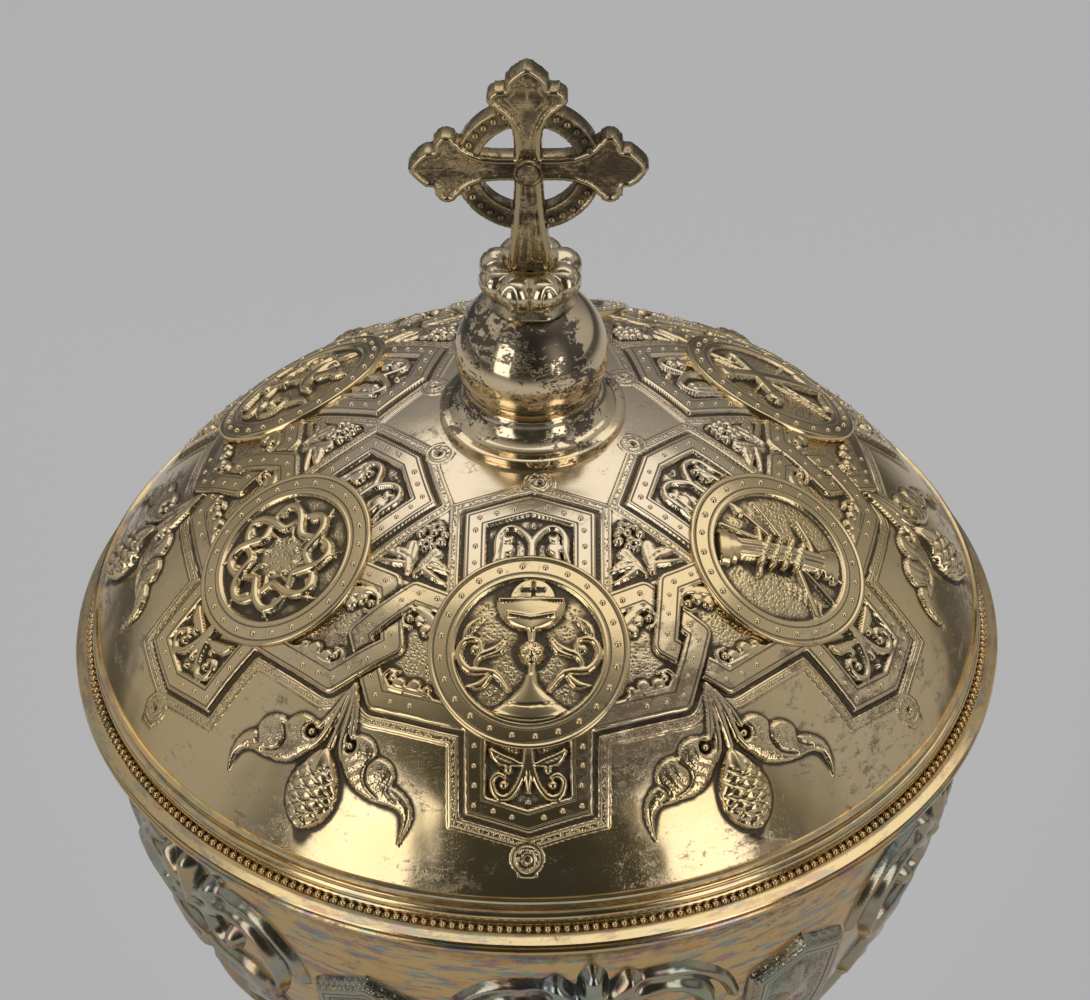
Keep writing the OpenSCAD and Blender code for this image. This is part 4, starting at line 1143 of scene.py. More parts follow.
def sheet_casting(name, distance, half, box, step, centre_z):
    """A flat casting: cells inside the outline, their border moved onto it, and a wall between two faces."""
    x0, x1, z0, z1 = box
    nx, nz = int(round((x1 - x0) / step)), int(round((z1 - z0) / step))
    gx, gz = np.meshgrid(x0 + step * np.arange(nx + 1), z0 + step * np.arange(nz + 1))
    d_mid, _, _ = distance(gx[:-1, :-1] + step / 2, gz[:-1, :-1] + step / 2)
    keep = d_mid < 0
    index = np.arange((nx + 1) * (nz + 1)).reshape(nz + 1, nx + 1)
    quads = np.stack([index[:-1, :-1], index[:-1, 1:], index[1:, 1:], index[1:, :-1]], -1)[keep]
    used, inverse = np.unique(quads, return_inverse=True)
    quads = inverse.reshape(quads.shape)
    px, pz = gx.ravel()[used].copy(), gz.ravel()[used].copy()
    edges = np.concatenate([quads[:, [a, (a + 1) % 4]] for a in range(4)])
    key = np.sort(edges, axis=1)
    _, first, counts = np.unique(key[:, 0] * len(used) + key[:, 1], return_index=True, return_counts=True)
    border = edges[first[counts == 1]]
    rim = np.unique(border)
    for _ in range(4):
        e = 0.02
        d, _, _ = distance(px[rim], pz[rim])
        dx = (distance(px[rim] + e, pz[rim])[0] - distance(px[rim] - e, pz[rim])[0]) / (2 * e)
        dz = (distance(px[rim], pz[rim] + e)[0] - distance(px[rim], pz[rim] - e)[0]) / (2 * e)
        g = np.maximum(dx * dx + dz * dz, 0.25)
        px[rim] -= np.clip(d * dx / g, -step, step) * 0.8
        pz[rim] -= np.clip(d * dz / g, -step, step) * 0.8
    d, high, matte = distance(px, pz)
    n = len(px)
    front = np.stack([px, -(half - CROSS_RIM_H + high), pz + centre_z], -1)
    back = np.stack([px, half - CROSS_RIM_H + high, pz + centre_z], -1)
    wall = np.stack([border[:, 1], border[:, 0], border[:, 0] + n, border[:, 1] + n], -1)
    layers = {"relief": np.tile(1.4 * (high - CROSS_LEVEL), 2), "matte": np.tile(matte, 2)}
    layers["relief"][np.concatenate([rim, rim + n])] = 0.1
    return mesh_object(name, np.concatenate([front, back]), [quads, quads[:, ::-1] + n, wall], layers, 60)


# ---------------------------------------------------------------- the cage's relief round the bowl
THROAT_Z, THROAT_R, BOWL_DEPTH = 195.265, 58.6, 62.0
CAGE_TURN = 8.0
CAGE_TOP, CAGE_DEPTH = 1.2, 51.2
CAGE_HALF_W = 30.7
CAGE_FLOOR, CAGE_BACK = -0.7, -0.85


def cage_point(azimuth, drop, high):
    """A point over the bowl, by its arc-like drop below the throat."""
    a = np.arcsin(np.clip(drop / BOWL_DEPTH, -0.3, 0.985))
    r = THROAT_R * np.cos(a)
    nr, nz = np.cos(a) / THROAT_R, -np.sin(a) / BOWL_DEPTH
    n = np.hypot(nr, nz)
    nr, nz = nr / n, nz / n
    t = np.radians(azimuth)
    r2, z2 = r + high * nr, THROAT_Z - drop + high * nz
    return np.stack([r2 * np.sin(t), -r2 * np.cos(t), z2], -1)


def cage_relief(across, drop):
    """Relief of one sixth of the cage, about its arch: across is in millimetres at the throat.
    The arch and bud stand in the middle and half of a house-shaped panel on each side."""
    x = np.abs(across)
    y = -drop
    r = Relief(across.shape)
    r.high[:] = CAGE_FLOOR
    # half of a house-shaped panel, whose centre line is at the sector's side
    p = CAGE_HALF_W - x
    panel = np.maximum(p - 8.2, y + 7.2 + 0.42 * p)
    panel = np.maximum(panel, -(y + 36.0) + 0.42 * p)
    r.band(panel, 1.5, -panel, 0.32)
    r.band(np.where(panel < -0.1, panel + 3.0, 9.0), 0.9, np.zeros(x.shape), 0.14)
    opening = panel + 3.0
    r.matte = np.where(opening < 0, 1.0, r.matte)
    r.border = np.where((panel < -0.1) & (panel > -1.3), np.clip(2
        * np.minimum(-panel / 1.3, 1 + panel / 1.3), 0, 1), r.border)
    r.edge = np.where((panel < -1.4) & (panel > -3.0), np.minimum(-panel - 1.2, panel + 3.2), 0.0)
    for k in range(5):
        a = math.radians(-90 + 72 * k + 36)
        r.raised(stroke(p, y, [(0, -16.5, 0.5), (2.6 * math.cos(a), -16.5 + 2.6 * math.sin(a), 0.95),
            (4.1 * math.cos(a), -16.5 + 4.1 * math.sin(a), 0.15)]), 0.6, 0.6, base=1.0)
    r.raised(stroke(p, y, spline([(0, -18, 0.4), (0.2, -24, 0.4), (0.1, -30, 0.3)])), 0.5, 0.4, base=1.0)
    for cy, s in ((-23.0, 1.0), (-27.5, 0.85)):
        r.raised(stroke(p, y, spline([(0.2, cy, 0.3), (2.0 * s, cy + 1.8, 0.9 * s),
            (4.0 * s, cy + 0.8, 0.2)])), 0.6, 0.6, base=0.95)
    r.raised(disc(p, y, 0, -16.5, 0.9), 0.8, 0.8, base=1.2)
    # the arch: a broad C-shaped scroll that springs from the panel and meets its twin under the bud
    arch = spline([(13.5, -20.5, 0.6), (16.0, -15.0, 1.0), (15.5, -10.0, 1.25), (11.6, -6.2, 1.3),
        (6.5, -6.2, 1.2), (3.6, -9.2, 1.0), (4.2, -12.6, 0.95), (7.2, -13.6, 0.85), (8.8, -11.2, 0.75)], 9)
    r.raised(stroke(x, y, arch), 1.5, 0.9, base=0.5)
    r.raised(disc(x, y, 7.6, -11.2, 1.25), 1.1, 1.1, base=0.9)
    r.groove(stroke(x, y, np.array(arch) * np.array([1, 1, 0]) + np.array([0, 0, 0.12])), 0.3, 0.2)
    outer = spline([(20.6, -13.0, 0.7), (18.4, -8.4, 0.85), (14.2, -4.6, 0.9), (9.0, -3.4, 0.85),
        (4.0, -4.2, 0.7)], 9)
    r.raised(stroke(x, y, outer), 1.0, 0.7, base=0.35)
    # ribbed leaves under the arch, that fan out from the side
    for k, (tx, ty, w) in enumerate(((1.2, -17.5, 1.3), (3.6, -21.0, 1.45), (6.2, -24.4, 1.5),
            (9.4, -27.4, 1.5), (12.8, -29.6, 1.35))):
        leaf = spline([(12.2 + 0.5 * k, -19.0 - 1.3 * k, 0.6),
            ((12.2 + tx) / 2 + 1.4, (-19.0 + ty) / 2 - 0.4 + 1.1 - 0.8 * k, w), (tx, ty, w * 0.8),
            (tx - 1.0, ty - 1.4, 0.2)], 4)
        r.raised(stroke(x, y, leaf), 1.25, 1.0, base=0.25)
        r.groove(stroke(x, y, np.array(leaf)[:-2] * np.array([1, 1, 0]) + np.array([0, 0, 0.1])), 0.35, 0.22)
    # lower scroll and the band of leaves at the foot of the cage
    low = spline([(22.0, -31.0, 0.9), (18.0, -34.5, 1.1), (13.0, -35.8, 1.2), (8.0, -34.6, 1.1),
        (5.6, -31.6, 1.0), (7.4, -29.4, 0.8), (9.4, -31.0, 0.7)], 9)
    r.raised(stroke(x, y, low), 1.2, 0.9, base=0.4)
    r.raised(stroke(x, y, spline([(0, -21.0, 0.7), (0.2, -28, 1.3), (0, -35, 1.5), (0, -41, 0.6)])), 1.2,
        1.0, base=0.3)
    for k in range(5):
        cx = 3.2 + 6.6 * k
        r.raised(stroke(x, y, [(cx, -50.6, 1.9), (cx, -44.6, 2.4), (cx, -39.8, 0.4)]), 1.0, 1.2, base=0.4)
        r.groove(stroke(x, y, [(cx, -50.0, 0.1), (cx, -42.0, 0.1)]), 0.4, 0.25)
    r.raised(np.abs(y + 38.2) - 0.55, 0.8, 0.5, base=0.6)
    r.raised(np.abs(y + 50.6) - 0.7, 0.9, 0.6, base=0.6)
    # the bud on the arch: three round lobes over a collar
    for path, size in (([(0, -8.6, 1.0), (0, -4.6, 1.75), (0, -2.6, 1.7), (0, -0.6, 0.35)], 1.7),
                       ([(1.4, -7.4, 0.7), (3.6, -5.2, 1.45), (4.5, -4.2, 1.5), (5.0, -3.2, 1.1)], 1.5),
                       ([(1.6, -8.8, 0.5), (4.6, -8.4, 0.95), (6.4, -7.8, 0.5)], 1.0)):
        r.raised(stroke(x, y, spline(path)), size, size, base=0.7)
    r.raised(stroke(x, y, [(0, -9.4, 0.7), (2.0, -9.4, 0.6)]), 1.2, 0.6, base=1.2)
    return r


def cage_sector(number):
    """One sixth of the cage, an openwork relief on the bowl; its openings lie under the bowl's skin."""
    turn = CAGE_TURN + SECTOR_A * (number - 1)
    step = 0.35 * FINE
    cols, rows = int(2 * CAGE_HALF_W / step), int(CAGE_DEPTH / step)
    across_deg = np.linspace(-SECTOR_A / 2, SECTOR_A / 2, cols + 1)
    drop = np.linspace(-0.9, CAGE_TOP + CAGE_DEPTH, rows + 1)
    az, dr = np.meshgrid(across_deg, drop)
    relief = cage_relief((az / (SECTOR_A / 2) * CAGE_HALF_W).ravel(), dr.ravel())
    high = blurred(relief.high.reshape(az.shape), 1.0, 1.0)
    high = high + 0.04 * value_noise(az * 1.2 + 40 * number, dr, 2.2, 41)
    relief.hollow = 0.45 * (high - blurred(high, 3, 3)) + 0.12 * (high - blurred(high, 9, 9))
    top = cage_point(az + turn, dr, high)
    back = cage_point(az + turn, dr, np.full(az.shape, CAGE_BACK))
    n, m = az.shape
    coarse_r, coarse_c = np.linspace(0, n - 1, 20).astype(int), np.linspace(0, m - 1, 16).astype(int)
    back = back[np.ix_(coarse_r, coarse_c)]
    index = np.arange(n * m).reshape(n, m)
    low = n * m + np.arange(back.shape[0] * back.shape[1]).reshape(back.shape[:2])
    faces = [grid_quads(n, m), grid_quads(back.shape[0], back.shape[1], n * m)[:, ::-1],
             zip_rows(index[:, 0], low[:, 0]), zip_rows(low[:, -1], index[:, -1]),
             zip_rows(index[-1], low[-1]), zip_rows(low[0], index[0])]
    points = np.concatenate([top.reshape(-1, 3), back.reshape(-1, 3)])
    return mesh_object(f"cup_cage_sector_{number}", points, faces, shader_layers((relief,), low.size), 85)


# ---------------------------------------------------------------- shader building
class Nodes:
    """Short ways to place and join shader nodes in one tree."""

    def __init__(self, tree):
        self.tree = tree

    def add(self, kind, **settings):
        return with_settings(self.tree.nodes.new(kind), settings)

    def put(self, socket, value):
        if isinstance(value, bpy.types.NodeSocket):
            self.tree.links.new(value, socket)
        elif isinstance(value, (tuple, list)) and len(value) == 3 and socket.type == "RGBA":
            socket.default_value = (*value, 1.0)
        else:
            socket.default_value = value

    def math(self, operation, a, b=0.0, c=0.0, clamp=False):
        n = self.add("ShaderNodeMath", operation=operation, use_clamp=clamp)
        for socket, value in zip(n.inputs, (a, b, c)):
            self.put(socket, value)
        return n.outputs[0]

    def step(self, x, low, high, to_low=0.0, to_high=1.0):
        n = self.add("ShaderNodeMapRange", interpolation_type="SMOOTHSTEP")
        for name, value in (("Value", x), ("From Min", low), ("From Max", high), ("To Min", to_low),
                ("To Max", to_high)):
            self.put(n.inputs[name], value)
        return n.outputs[0]

    def mix(self, factor, a, b):
        n = self.add("ShaderNodeMix", data_type="RGBA")
        self.put(n.inputs[0], factor)
        self.put(n.inputs[6], a)
        self.put(n.inputs[7], b)
        return n.outputs[2]

    def coords(self):
        return self.add("ShaderNodeTexCoord").outputs["Object"]

    def scaled(self, coords, x, y, z):
        n = self.add("ShaderNodeMapping")
        self.put(n.inputs["Vector"], coords)
        n.inputs["Scale"].default_value = (x, y, z)
        return n.outputs[0]

    def noise(self, coords, scale, detail=3.0, rough=0.5, distortion=0.0):
        n = self.add("ShaderNodeTexNoise")
        self.put(n.inputs["Vector"], coords)
        for name, value in (("Scale", scale), ("Detail", detail), ("Roughness", rough),
                ("Distortion", distortion)):
            self.put(n.inputs[name], value)
        return n.outputs["Fac"]

    def cells(self, coords, scale, spread):
        n = self.add("ShaderNodeTexVoronoi", feature="F1")
        self.put(n.inputs["Vector"], coords)
        self.put(n.inputs["Scale"], scale)
        self.put(n.inputs["Randomness"], spread)
        return n.outputs["Distance"]

    def layer(self, name):
        return self.add("ShaderNodeAttribute", attribute_name=name).outputs["Fac"]

    def ramp(self, x, stops):
        n = self.add("ShaderNodeValToRGB")
        self.put(n.inputs[0], x)
        band = n.color_ramp
        while len(band.elements) < len(stops):
            band.elements.new(0.5)
        for element, (place, colour) in zip(band.elements, stops):
            element.position = place
            element.color = (*colour, 1.0)
        return n.outputs[0]

    def place(self, group, **values):
        n = self.add("ShaderNodeGroup")
        n.node_tree = group
        for name, value in values.items():
            self.put(n.inputs[name.replace("_", " ")], value)
        return n.outputs


def new_material(name):
    """A new material, its node builder and its shader."""
    material = bpy.data.materials.new(name)
    material.use_nodes = True
    return material, Nodes(material.node_tree), material.node_tree.nodes["Principled BSDF"]


def shader_group(name, given, made):
    """A new node group of number inputs, with its node builder and its two ends."""
    tree = bpy.data.node_groups.new(name, "ShaderNodeTree")
    for label, default in given:
        tree.interface.new_socket(label, in_out="INPUT",
            socket_type="NodeSocketFloat").default_value = default
    for label, kind in made:
        tree.interface.new_socket(label, in_out="OUTPUT", socket_type=kind)
    n = Nodes(tree)
    return tree, n, n.add("NodeGroupInput").outputs, n.add("NodeGroupOutput").inputs


def oxide_group():
    """Dark oxide that stays in hollows, and the tops where it is rubbed away."""
    tree, n, given, made = shader_group("oxide_in_hollows",
        [("Relief", 0.0), ("Amount", 1.0), ("Start", 0.05)],
        [("Mask", "NodeSocketFloat"), ("Rubbed", "NodeSocketFloat")])
    c = n.coords()
    mottle = n.math("MULTIPLY_ADD", n.noise(c, 900, 4, 0.6), 0.16, -0.08)
    broad = n.math("MULTIPLY_ADD", n.noise(c, 140, 2, 0.5), 0.16, -0.08)
    depth = n.math("ADD", n.math("MULTIPLY", given["Relief"], -1.0), n.math("ADD", mottle, broad))
    mask = n.step(depth, given["Start"], n.math("ADD", given["Start"], 0.2))
    n.put(made["Mask"], n.math("MULTIPLY", mask, given["Amount"], clamp=True))
    n.put(made["Rubbed"], n.step(n.math("ADD", given["Relief"], mottle), 0.07, 0.3))
    return tree


def stain_group():
    """Stains: speckles that gather in clouds, soft or with the hard edge of flaking oxide."""
    tree, n, given, made = shader_group("brown_stain", [("Amount", 0.5), ("Seed", 0.0), ("Softness", 0.2)],
        [("Mask", "NodeSocketFloat"), ("Cloud", "NodeSocketFloat"), ("Fleck", "NodeSocketFloat")])
    move = n.add("ShaderNodeVectorMath", operation="ADD")
    n.put(move.inputs[0], n.coords())
    n.put(move.inputs[1], given["Seed"])
    c = move.outputs[0]
    cloud = n.noise(c, 42, 5, 0.62, 0.6)
    fleck = n.noise(n.scaled(c, 1, 1, 2.4), 380, 6, 0.72, 0.4)
    fine = n.noise(c, 2300, 3, 0.6)
    grow = n.math("ADD", n.math("MULTIPLY", cloud, 1.3), n.math("ADD", n.math("MULTIPLY", fleck, 0.9),
        n.math("MULTIPLY", fine, 0.3)))
    edge = n.math("SUBTRACT", 1.75, n.math("MULTIPLY", given["Amount"], 0.72))
    n.put(made["Mask"], n.step(grow, edge, n.math("ADD", edge, given["Softness"])))
    n.put(made["Cloud"], cloud)
    n.put(made["Fleck"], fleck)
    return tree


def punch_group():
    """Matting: a ground struck all over with a small round punch."""
    tree, n, given, made = shader_group("punched_ground", [("Matte", 0.0), ("Density", 1500.0)],
                                        [("Height", "NodeSocketFloat"), ("Pits", "NodeSocketFloat")])
    c = n.coords()
    dist = n.cells(c, given["Density"], 0.85)
    dimple = n.step(dist, 0.1, 0.62)
    uneven = n.noise(c, 700, 3, 0.6)
    n.put(made["Height"], n.math("MULTIPLY", n.math("ADD", dimple, n.math("MULTIPLY", uneven, 0.8)),
        given["Matte"]))
    n.put(made["Pits"], n.math("MULTIPLY", n.math("SUBTRACT", 1.0, n.step(dist, 0.12, 0.42)), given["Matte"]))
    return tree


def line_group():
    """A line engraved beside an edge."""
    tree, n, given, made = shader_group("engraved_line", [("Edge", 0.0), ("Place", 0.5), ("Width", 0.1)],
                                        [("Line", "NodeSocketFloat")])
    off = n.math("ABSOLUTE", n.math("SUBTRACT", given["Edge"], given["Place"]))
    n.put(made["Line"], n.math("SUBTRACT", 1.0, n.step(off, n.math("MULTIPLY", given["Width"], 0.45),
        given["Width"])))
    return tree


def rainbow_group():
    """Thin tarnish in flakes drawn out along the turning, from straw through violet and blue to green."""
    tree, n, given, made = shader_group("rainbow_tarnish", [("Amount", 0.5), ("Stretch", 3.0)],
                                        [("Colour", "NodeSocketColor"), ("Mask", "NodeSocketFloat")])
    c = n.coords()
    mapped = n.add("ShaderNodeMapping")
    n.put(mapped.inputs["Vector"], c)
    size = n.add("ShaderNodeCombineXYZ")
    n.put(size.inputs[0], 1.0)
    n.put(size.inputs[1], 1.0)
    n.put(size.inputs[2], given["Stretch"])
    n.put(mapped.inputs["Scale"], size.outputs[0])
    film = n.noise(mapped.outputs[0], 105, 6, 0.66, 0.6)
    n.put(made["Colour"], n.ramp(film, [(0.30, (0.66, 0.44, 0.16)), (0.42, (0.62, 0.36, 0.14)),
        (0.475, (0.46, 0.20, 0.22)), (0.53, (0.22, 0.30, 0.36)), (0.58, (0.26, 0.42, 0.34)),
        (0.68, (0.55, 0.50, 0.24))]))
    patch = n.noise(mapped.outputs[0], 160, 6, 0.7)
    n.put(made["Mask"], n.math("MULTIPLY", n.step(patch, 0.48, 0.56), given["Amount"], clamp=True))
    return tree


def wear_group():
    """Fine scratches and the unevenness of a hand-polished surface."""
    tree, n, given, made = shader_group("handling_marks", [("Amount", 1.0)],
                                        [("Height", "NodeSocketFloat"), ("Dull", "NodeSocketFloat")])
    c = n.coords()
    a = n.noise(n.scaled(c, 5, 160, 40), 60, 2, 0.5)
    b = n.noise(n.scaled(c, 150, 8, 50), 55, 2, 0.5)
    lines = n.math("ADD", n.step(a, 0.62, 0.7), n.step(b, 0.63, 0.7))
    soft = n.noise(c, 260, 3, 0.55)
    n.put(made["Height"], n.math("MULTIPLY", n.math("ADD", n.math("MULTIPLY", lines, -0.25), soft),
        given["Amount"]))
    n.put(made["Dull"], n.math("MULTIPLY", n.noise(c, 90, 5, 0.65), given["Amount"]))
    return tree


OXIDE, STAIN, PUNCH, LINE, RAINBOW, WEAR = (
    oxide_group(), stain_group(), punch_group(), line_group(), rainbow_group(), wear_group())


def silver_gilt(name, gilt, pale, overhead_sheen_above=9.0, stain=0.5, softness=0.2, brown=(0.27, 0.18, 0.11),
        oxide=0.92, start=0.045, dark=(0.038, 0.026, 0.015), rough=0.10, film=0.0, stretch=3.0, marks=1.0,
        seed=0.0, ground=2000.0):
    """Gilded silver: gold, its pale rubbed colour in clouds and as a painted sheen of the overhead light on
    the top, tarnish film, stains, oxide, engraving and marks.
    """
    material, n, shader = new_material(name)
    matte, edge, border = n.layer("matte"), n.layer("edge"), n.layer("border")
    ox = n.place(OXIDE, Relief=n.layer("relief"), Amount=oxide, Start=start)
    st = n.place(STAIN, Amount=stain, Seed=seed, Softness=softness)
    wear = n.place(WEAR, Amount=marks)
    punch = n.place(PUNCH, Matte=matte, Density=ground)
    grain = n.place(PUNCH, Matte=n.step(border, 0.56, 0.72), Density=2700.0)
    wire = n.place(LINE, Edge=border, Place=0.27, Width=0.27)
    lines = n.place(LINE, Edge=edge, Place=0.55, Width=0.13)

    # painted highlight: above a given height the colour turns pale, a painted reflection of the overhead
    # light on the lid's top
    split = n.add("ShaderNodeSeparateXYZ")
    n.put(split.inputs[0], n.coords())
    painted_top_sheen = n.step(n.math("MULTIPLY_ADD", st["Cloud"], 0.006, split.outputs[2]), overhead_sheen_above,
        overhead_sheen_above + 0.006)
    colour = n.mix(n.math("MAXIMUM", n.step(st["Cloud"], 0.4, 0.7, 0.0, 0.7), painted_top_sheen), gilt, pale)
    if film:
        tarnish = n.place(RAINBOW, Amount=film, Stretch=stretch)
        colour = n.mix(tarnish["Mask"], colour, tarnish["Colour"])
    stained = n.math("MULTIPLY", st["Mask"], n.math("SUBTRACT", 1.0, ox["Rubbed"]))
    colour = n.mix(n.math("MULTIPLY", stained, 0.85), colour, brown)
    pits = n.math("MULTIPLY", n.math("ADD", punch["Pits"], grain["Pits"]), 0.75, clamp=True)
    dirt = n.math("MAXIMUM", ox["Mask"], n.math("MAXIMUM", n.math("MULTIPLY", lines["Line"], 0.75), pits))
    n.put(shader.inputs["Base Color"], n.mix(dirt, colour, dark))
    gloss = n.math("MULTIPLY_ADD", wear["Dull"], 0.11, rough)
    gloss = n.math("MULTIPLY_ADD", stained, 0.2, gloss)
    n.put(shader.inputs["Roughness"], n.math("MULTIPLY_ADD", dirt, 0.3, gloss))
    n.put(shader.inputs["Metallic"], n.math("MULTIPLY_ADD", dirt, -0.6, 1.0))

    height = n.math("MULTIPLY", n.math("ADD", punch["Height"], n.math("MULTIPLY", grain["Height"], 0.9)),
        0.075)
    height = n.math("MULTIPLY_ADD", wire["Line"], 0.12, height)
    height = n.math("MULTIPLY_ADD", lines["Line"], -0.12, height)
    height = n.math("MULTIPLY_ADD", wear["Height"], 0.007, height)
    height = n.math("MULTIPLY_ADD", n.math("MULTIPLY", st["Fleck"], stained), -0.02, height)
    bump = n.add("ShaderNodeBump")
    bump.inputs["Strength"].default_value = 0.9
    bump.inputs["Distance"].default_value = MM
    n.put(bump.inputs["Height"], height)
    n.put(shader.inputs["Normal"], bump.outputs[0])
    return material


def plain_metal(name, colour, rough):
    """Turned fittings: fine rings and a little dirt."""
    material, n, shader = new_material(name)
    c = n.coords()
    rings = n.noise(n.scaled(c, 30, 30, 900), 12, 2, 0.5)
    st = n.place(STAIN, Amount=0.45, Seed=3.0)
    n.put(shader.inputs["Base Color"], n.mix(n.math("MULTIPLY", st["Mask"], 0.6), colour, (0.12, 0.10, 0.08)))
    shader.inputs["Metallic"].default_value = 1.0
    n.put(shader.inputs["Roughness"], n.math("ADD", rough, n.math("MULTIPLY", rings, 0.2)))
    bump = n.add("ShaderNodeBump")
    bump.inputs["Distance"].default_value = 0.00003
    n.put(bump.inputs["Height"], rings)
    n.put(shader.inputs["Normal"], bump.outputs[0])
    return material


GOLD, STRAW, PALE = (0.80, 0.60, 0.30), (0.76, 0.62, 0.38), (0.80, 0.66, 0.47)
NEARLY_BLACK = (0.045, 0.038, 0.030)
# above 236 mm the lid is painted pale, a painted reflection of the overhead light
LID_GILT = silver_gilt("chased_lid_gilt", (0.76, 0.575, 0.30), PALE, overhead_sheen_above=0.236, stain=0.60)
PLATE_GILT = silver_gilt("medallion_gilt", (0.77, 0.58, 0.31), STRAW, stain=0.5, seed=2.0)
RIM_GILT = silver_gilt("lid_rim_gilt", GOLD, STRAW, stain=0.5, rough=0.10, film=0.5, stretch=9.0, seed=4.0)
ORB_GILT = silver_gilt("orb_gilt", (0.82, 0.66, 0.42), (0.82, 0.66, 0.52), stain=0.69, softness=0.05,
    brown=NEARLY_BLACK, rough=0.06, seed=5.0)
CAST_GILT = silver_gilt("cast_cross_gilt", (0.50, 0.38, 0.20), (0.50, 0.42, 0.30), stain=0.80,
    brown=(0.10, 0.07, 0.04), oxide=0.9, start=0.02, rough=0.16, seed=6.0, ground=2600.0)
CROWN_GILT = silver_gilt("crown_gilt", (0.70, 0.58, 0.38), PALE, stain=0.6, softness=0.1,
    brown=(0.12, 0.09, 0.06), rough=0.10, seed=13.0)
CUP_GILT = silver_gilt("cup_gilt", (0.66, 0.45, 0.20), (0.66, 0.48, 0.26), stain=0.55, rough=0.13,
    film=0.85, stretch=7.0, seed=7.0)
CAGE_METAL = silver_gilt("cage_patina", (0.42, 0.36, 0.24), (0.33, 0.41, 0.41), stain=0.62, rough=0.15,
    film=0.45, stretch=1.5, seed=8.0, start=0.02, brown=(0.10, 0.12, 0.11), dark=(0.03, 0.035, 0.033))
FOOT_GILT = silver_gilt("foot_gilt", GOLD, STRAW, stain=0.6, film=0.12, seed=9.0)
KNOP_GILT = silver_gilt("knop_gilt", GOLD, STRAW, stain=0.55, seed=10.0)
# the strap pearls above 236 mm get the same painted sheen of the overhead light
PEARL_GILT = silver_gilt("pearl_gilt", (0.76, 0.59, 0.34), PALE, overhead_sheen_above=0.236, stain=0.45, marks=0.4,
    seed=11.0)
DARK_PEARL = silver_gilt("rim_pearl_gilt", (0.74, 0.56, 0.30), (0.66, 0.54, 0.36), stain=0.5,
    brown=(0.12, 0.09, 0.06), marks=0.4, seed=12.0)
FITTING = plain_metal("turned_fittings", (0.52, 0.50, 0.46), 0.3)


def dress(obj, metal, body, nodes, slot):
    """Gives a finished piece its metal and its body and hides the solids it stands for; slot is not used."""
    if not obj.data.materials:
        obj.data.materials.append(metal)
    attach(obj, body)
    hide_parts(*nodes)
    return obj


def beads(name, places, radius, flatness, spread, seed, metal, *riding):
    """Beads on stated places, dressed like any other piece."""
    dress(set_beads(name, *places, radius, flatness, spread, seed, metal), metal, *riding)


# ---------------------------------------------------------------- turned pieces
def resampled(profile, step, shown=None):
    """The profile's corners, with points every step between them; past the shown corners steps are long."""
    out = []
    for i, (a, b) in enumerate(zip(profile, profile[1:] + profile[:1])):
        wide = step if shown is None or i < shown else 4.0
        count = max(1, int(math.ceil(math.hypot(b[0] - a[0], b[1] - a[1]) / wide)))
        out += [(a[0] + (b[0] - a[0]) * k / count, a[1] + (b[1] - a[1]) * k / count) for k in range(count)]
    return out


def profile_normals(p):
    """Outward unit vectors at the points of a closed profile."""
    along = np.roll(p, -1, 0) - np.roll(p, 1, 0)
    normal = np.stack([along[:, 1], -along[:, 0]], -1)
    return normal / np.maximum(np.hypot(*normal.T), 1e-9)[:, None]


def profile_relief(profile, reach):
    """How far each point of a closed profile stands out from its neighbourhood."""
    p = np.array(profile, float)
    seg = np.hypot(*(np.roll(p, -1, 0) - p).T)
    place = np.concatenate([[0], np.cumsum(seg)])
    around = place[-1]
    out = np.zeros(len(p))
    normal = profile_normals(p)
    for i in range(len(p)):
        gap = np.abs(place[:-1] - place[i])
        gap = np.minimum(gap, around - gap)
        weight = np.exp(-((gap / reach) ** 2)) * (seg + np.roll(seg, 1))
        mean = (p * weight[:, None]).sum(0) / weight.sum()
        out[i] = (p[i] - mean) @ normal[i]
    return out


def turned(name, profile, metal, body, nodes, slot, segments=256, step=1.0, reach=1.0, design=None,
        sharp=38, strength=1.0, shown=None):
    """A turned piece from a closed profile, anticlockwise with the radius to the right. A design adds relief:
    it is given the angle in degrees, the distance along the profile, and the radius and height there."""
    profile = resampled(profile, step, shown)
    p = np.array(profile, float)
    n = len(p)
    angle = np.linspace(0, 360, segments, endpoint=False)
    standing = profile_relief(profile, reach) * strength
    r = np.repeat(p[:, :1], segments, 1)
    z = np.repeat(p[:, 1:2], segments, 1)
    layers = {"relief": np.repeat(standing[:, None], segments, 1)}
    if design is not None:
        normal = profile_normals(p)
        along = np.concatenate([[0], np.cumsum(np.hypot(*(p[1:] - p[:-1]).T))])
        relief = design(np.repeat(angle[None, :], n, 0), np.repeat(along[:, None], segments, 1), r, z)
        r = r + relief.high * normal[:, :1]
        z = z + relief.high * normal[:, 1:2]
        local = relief.high - blurred(relief.high, 3, 3, True)
        layers["relief"] = layers["relief"] + 0.8 * local
        for layer in ("matte", "edge", "border"):
            layers[layer] = getattr(relief, layer)
    t = np.radians(angle)[None, :]
    points = np.stack([r * np.sin(t), -r * np.cos(t), z], -1).reshape(-1, 3)
    obj = mesh_object(name, points, [ring_quads(n, segments)], layers, sharp)
    return dress(obj, metal, body, nodes, slot)


LID, BASE = "lid", "base"
DOME_UNDER_R = DOME_R + DOME_IN
STUD_R = 1.62

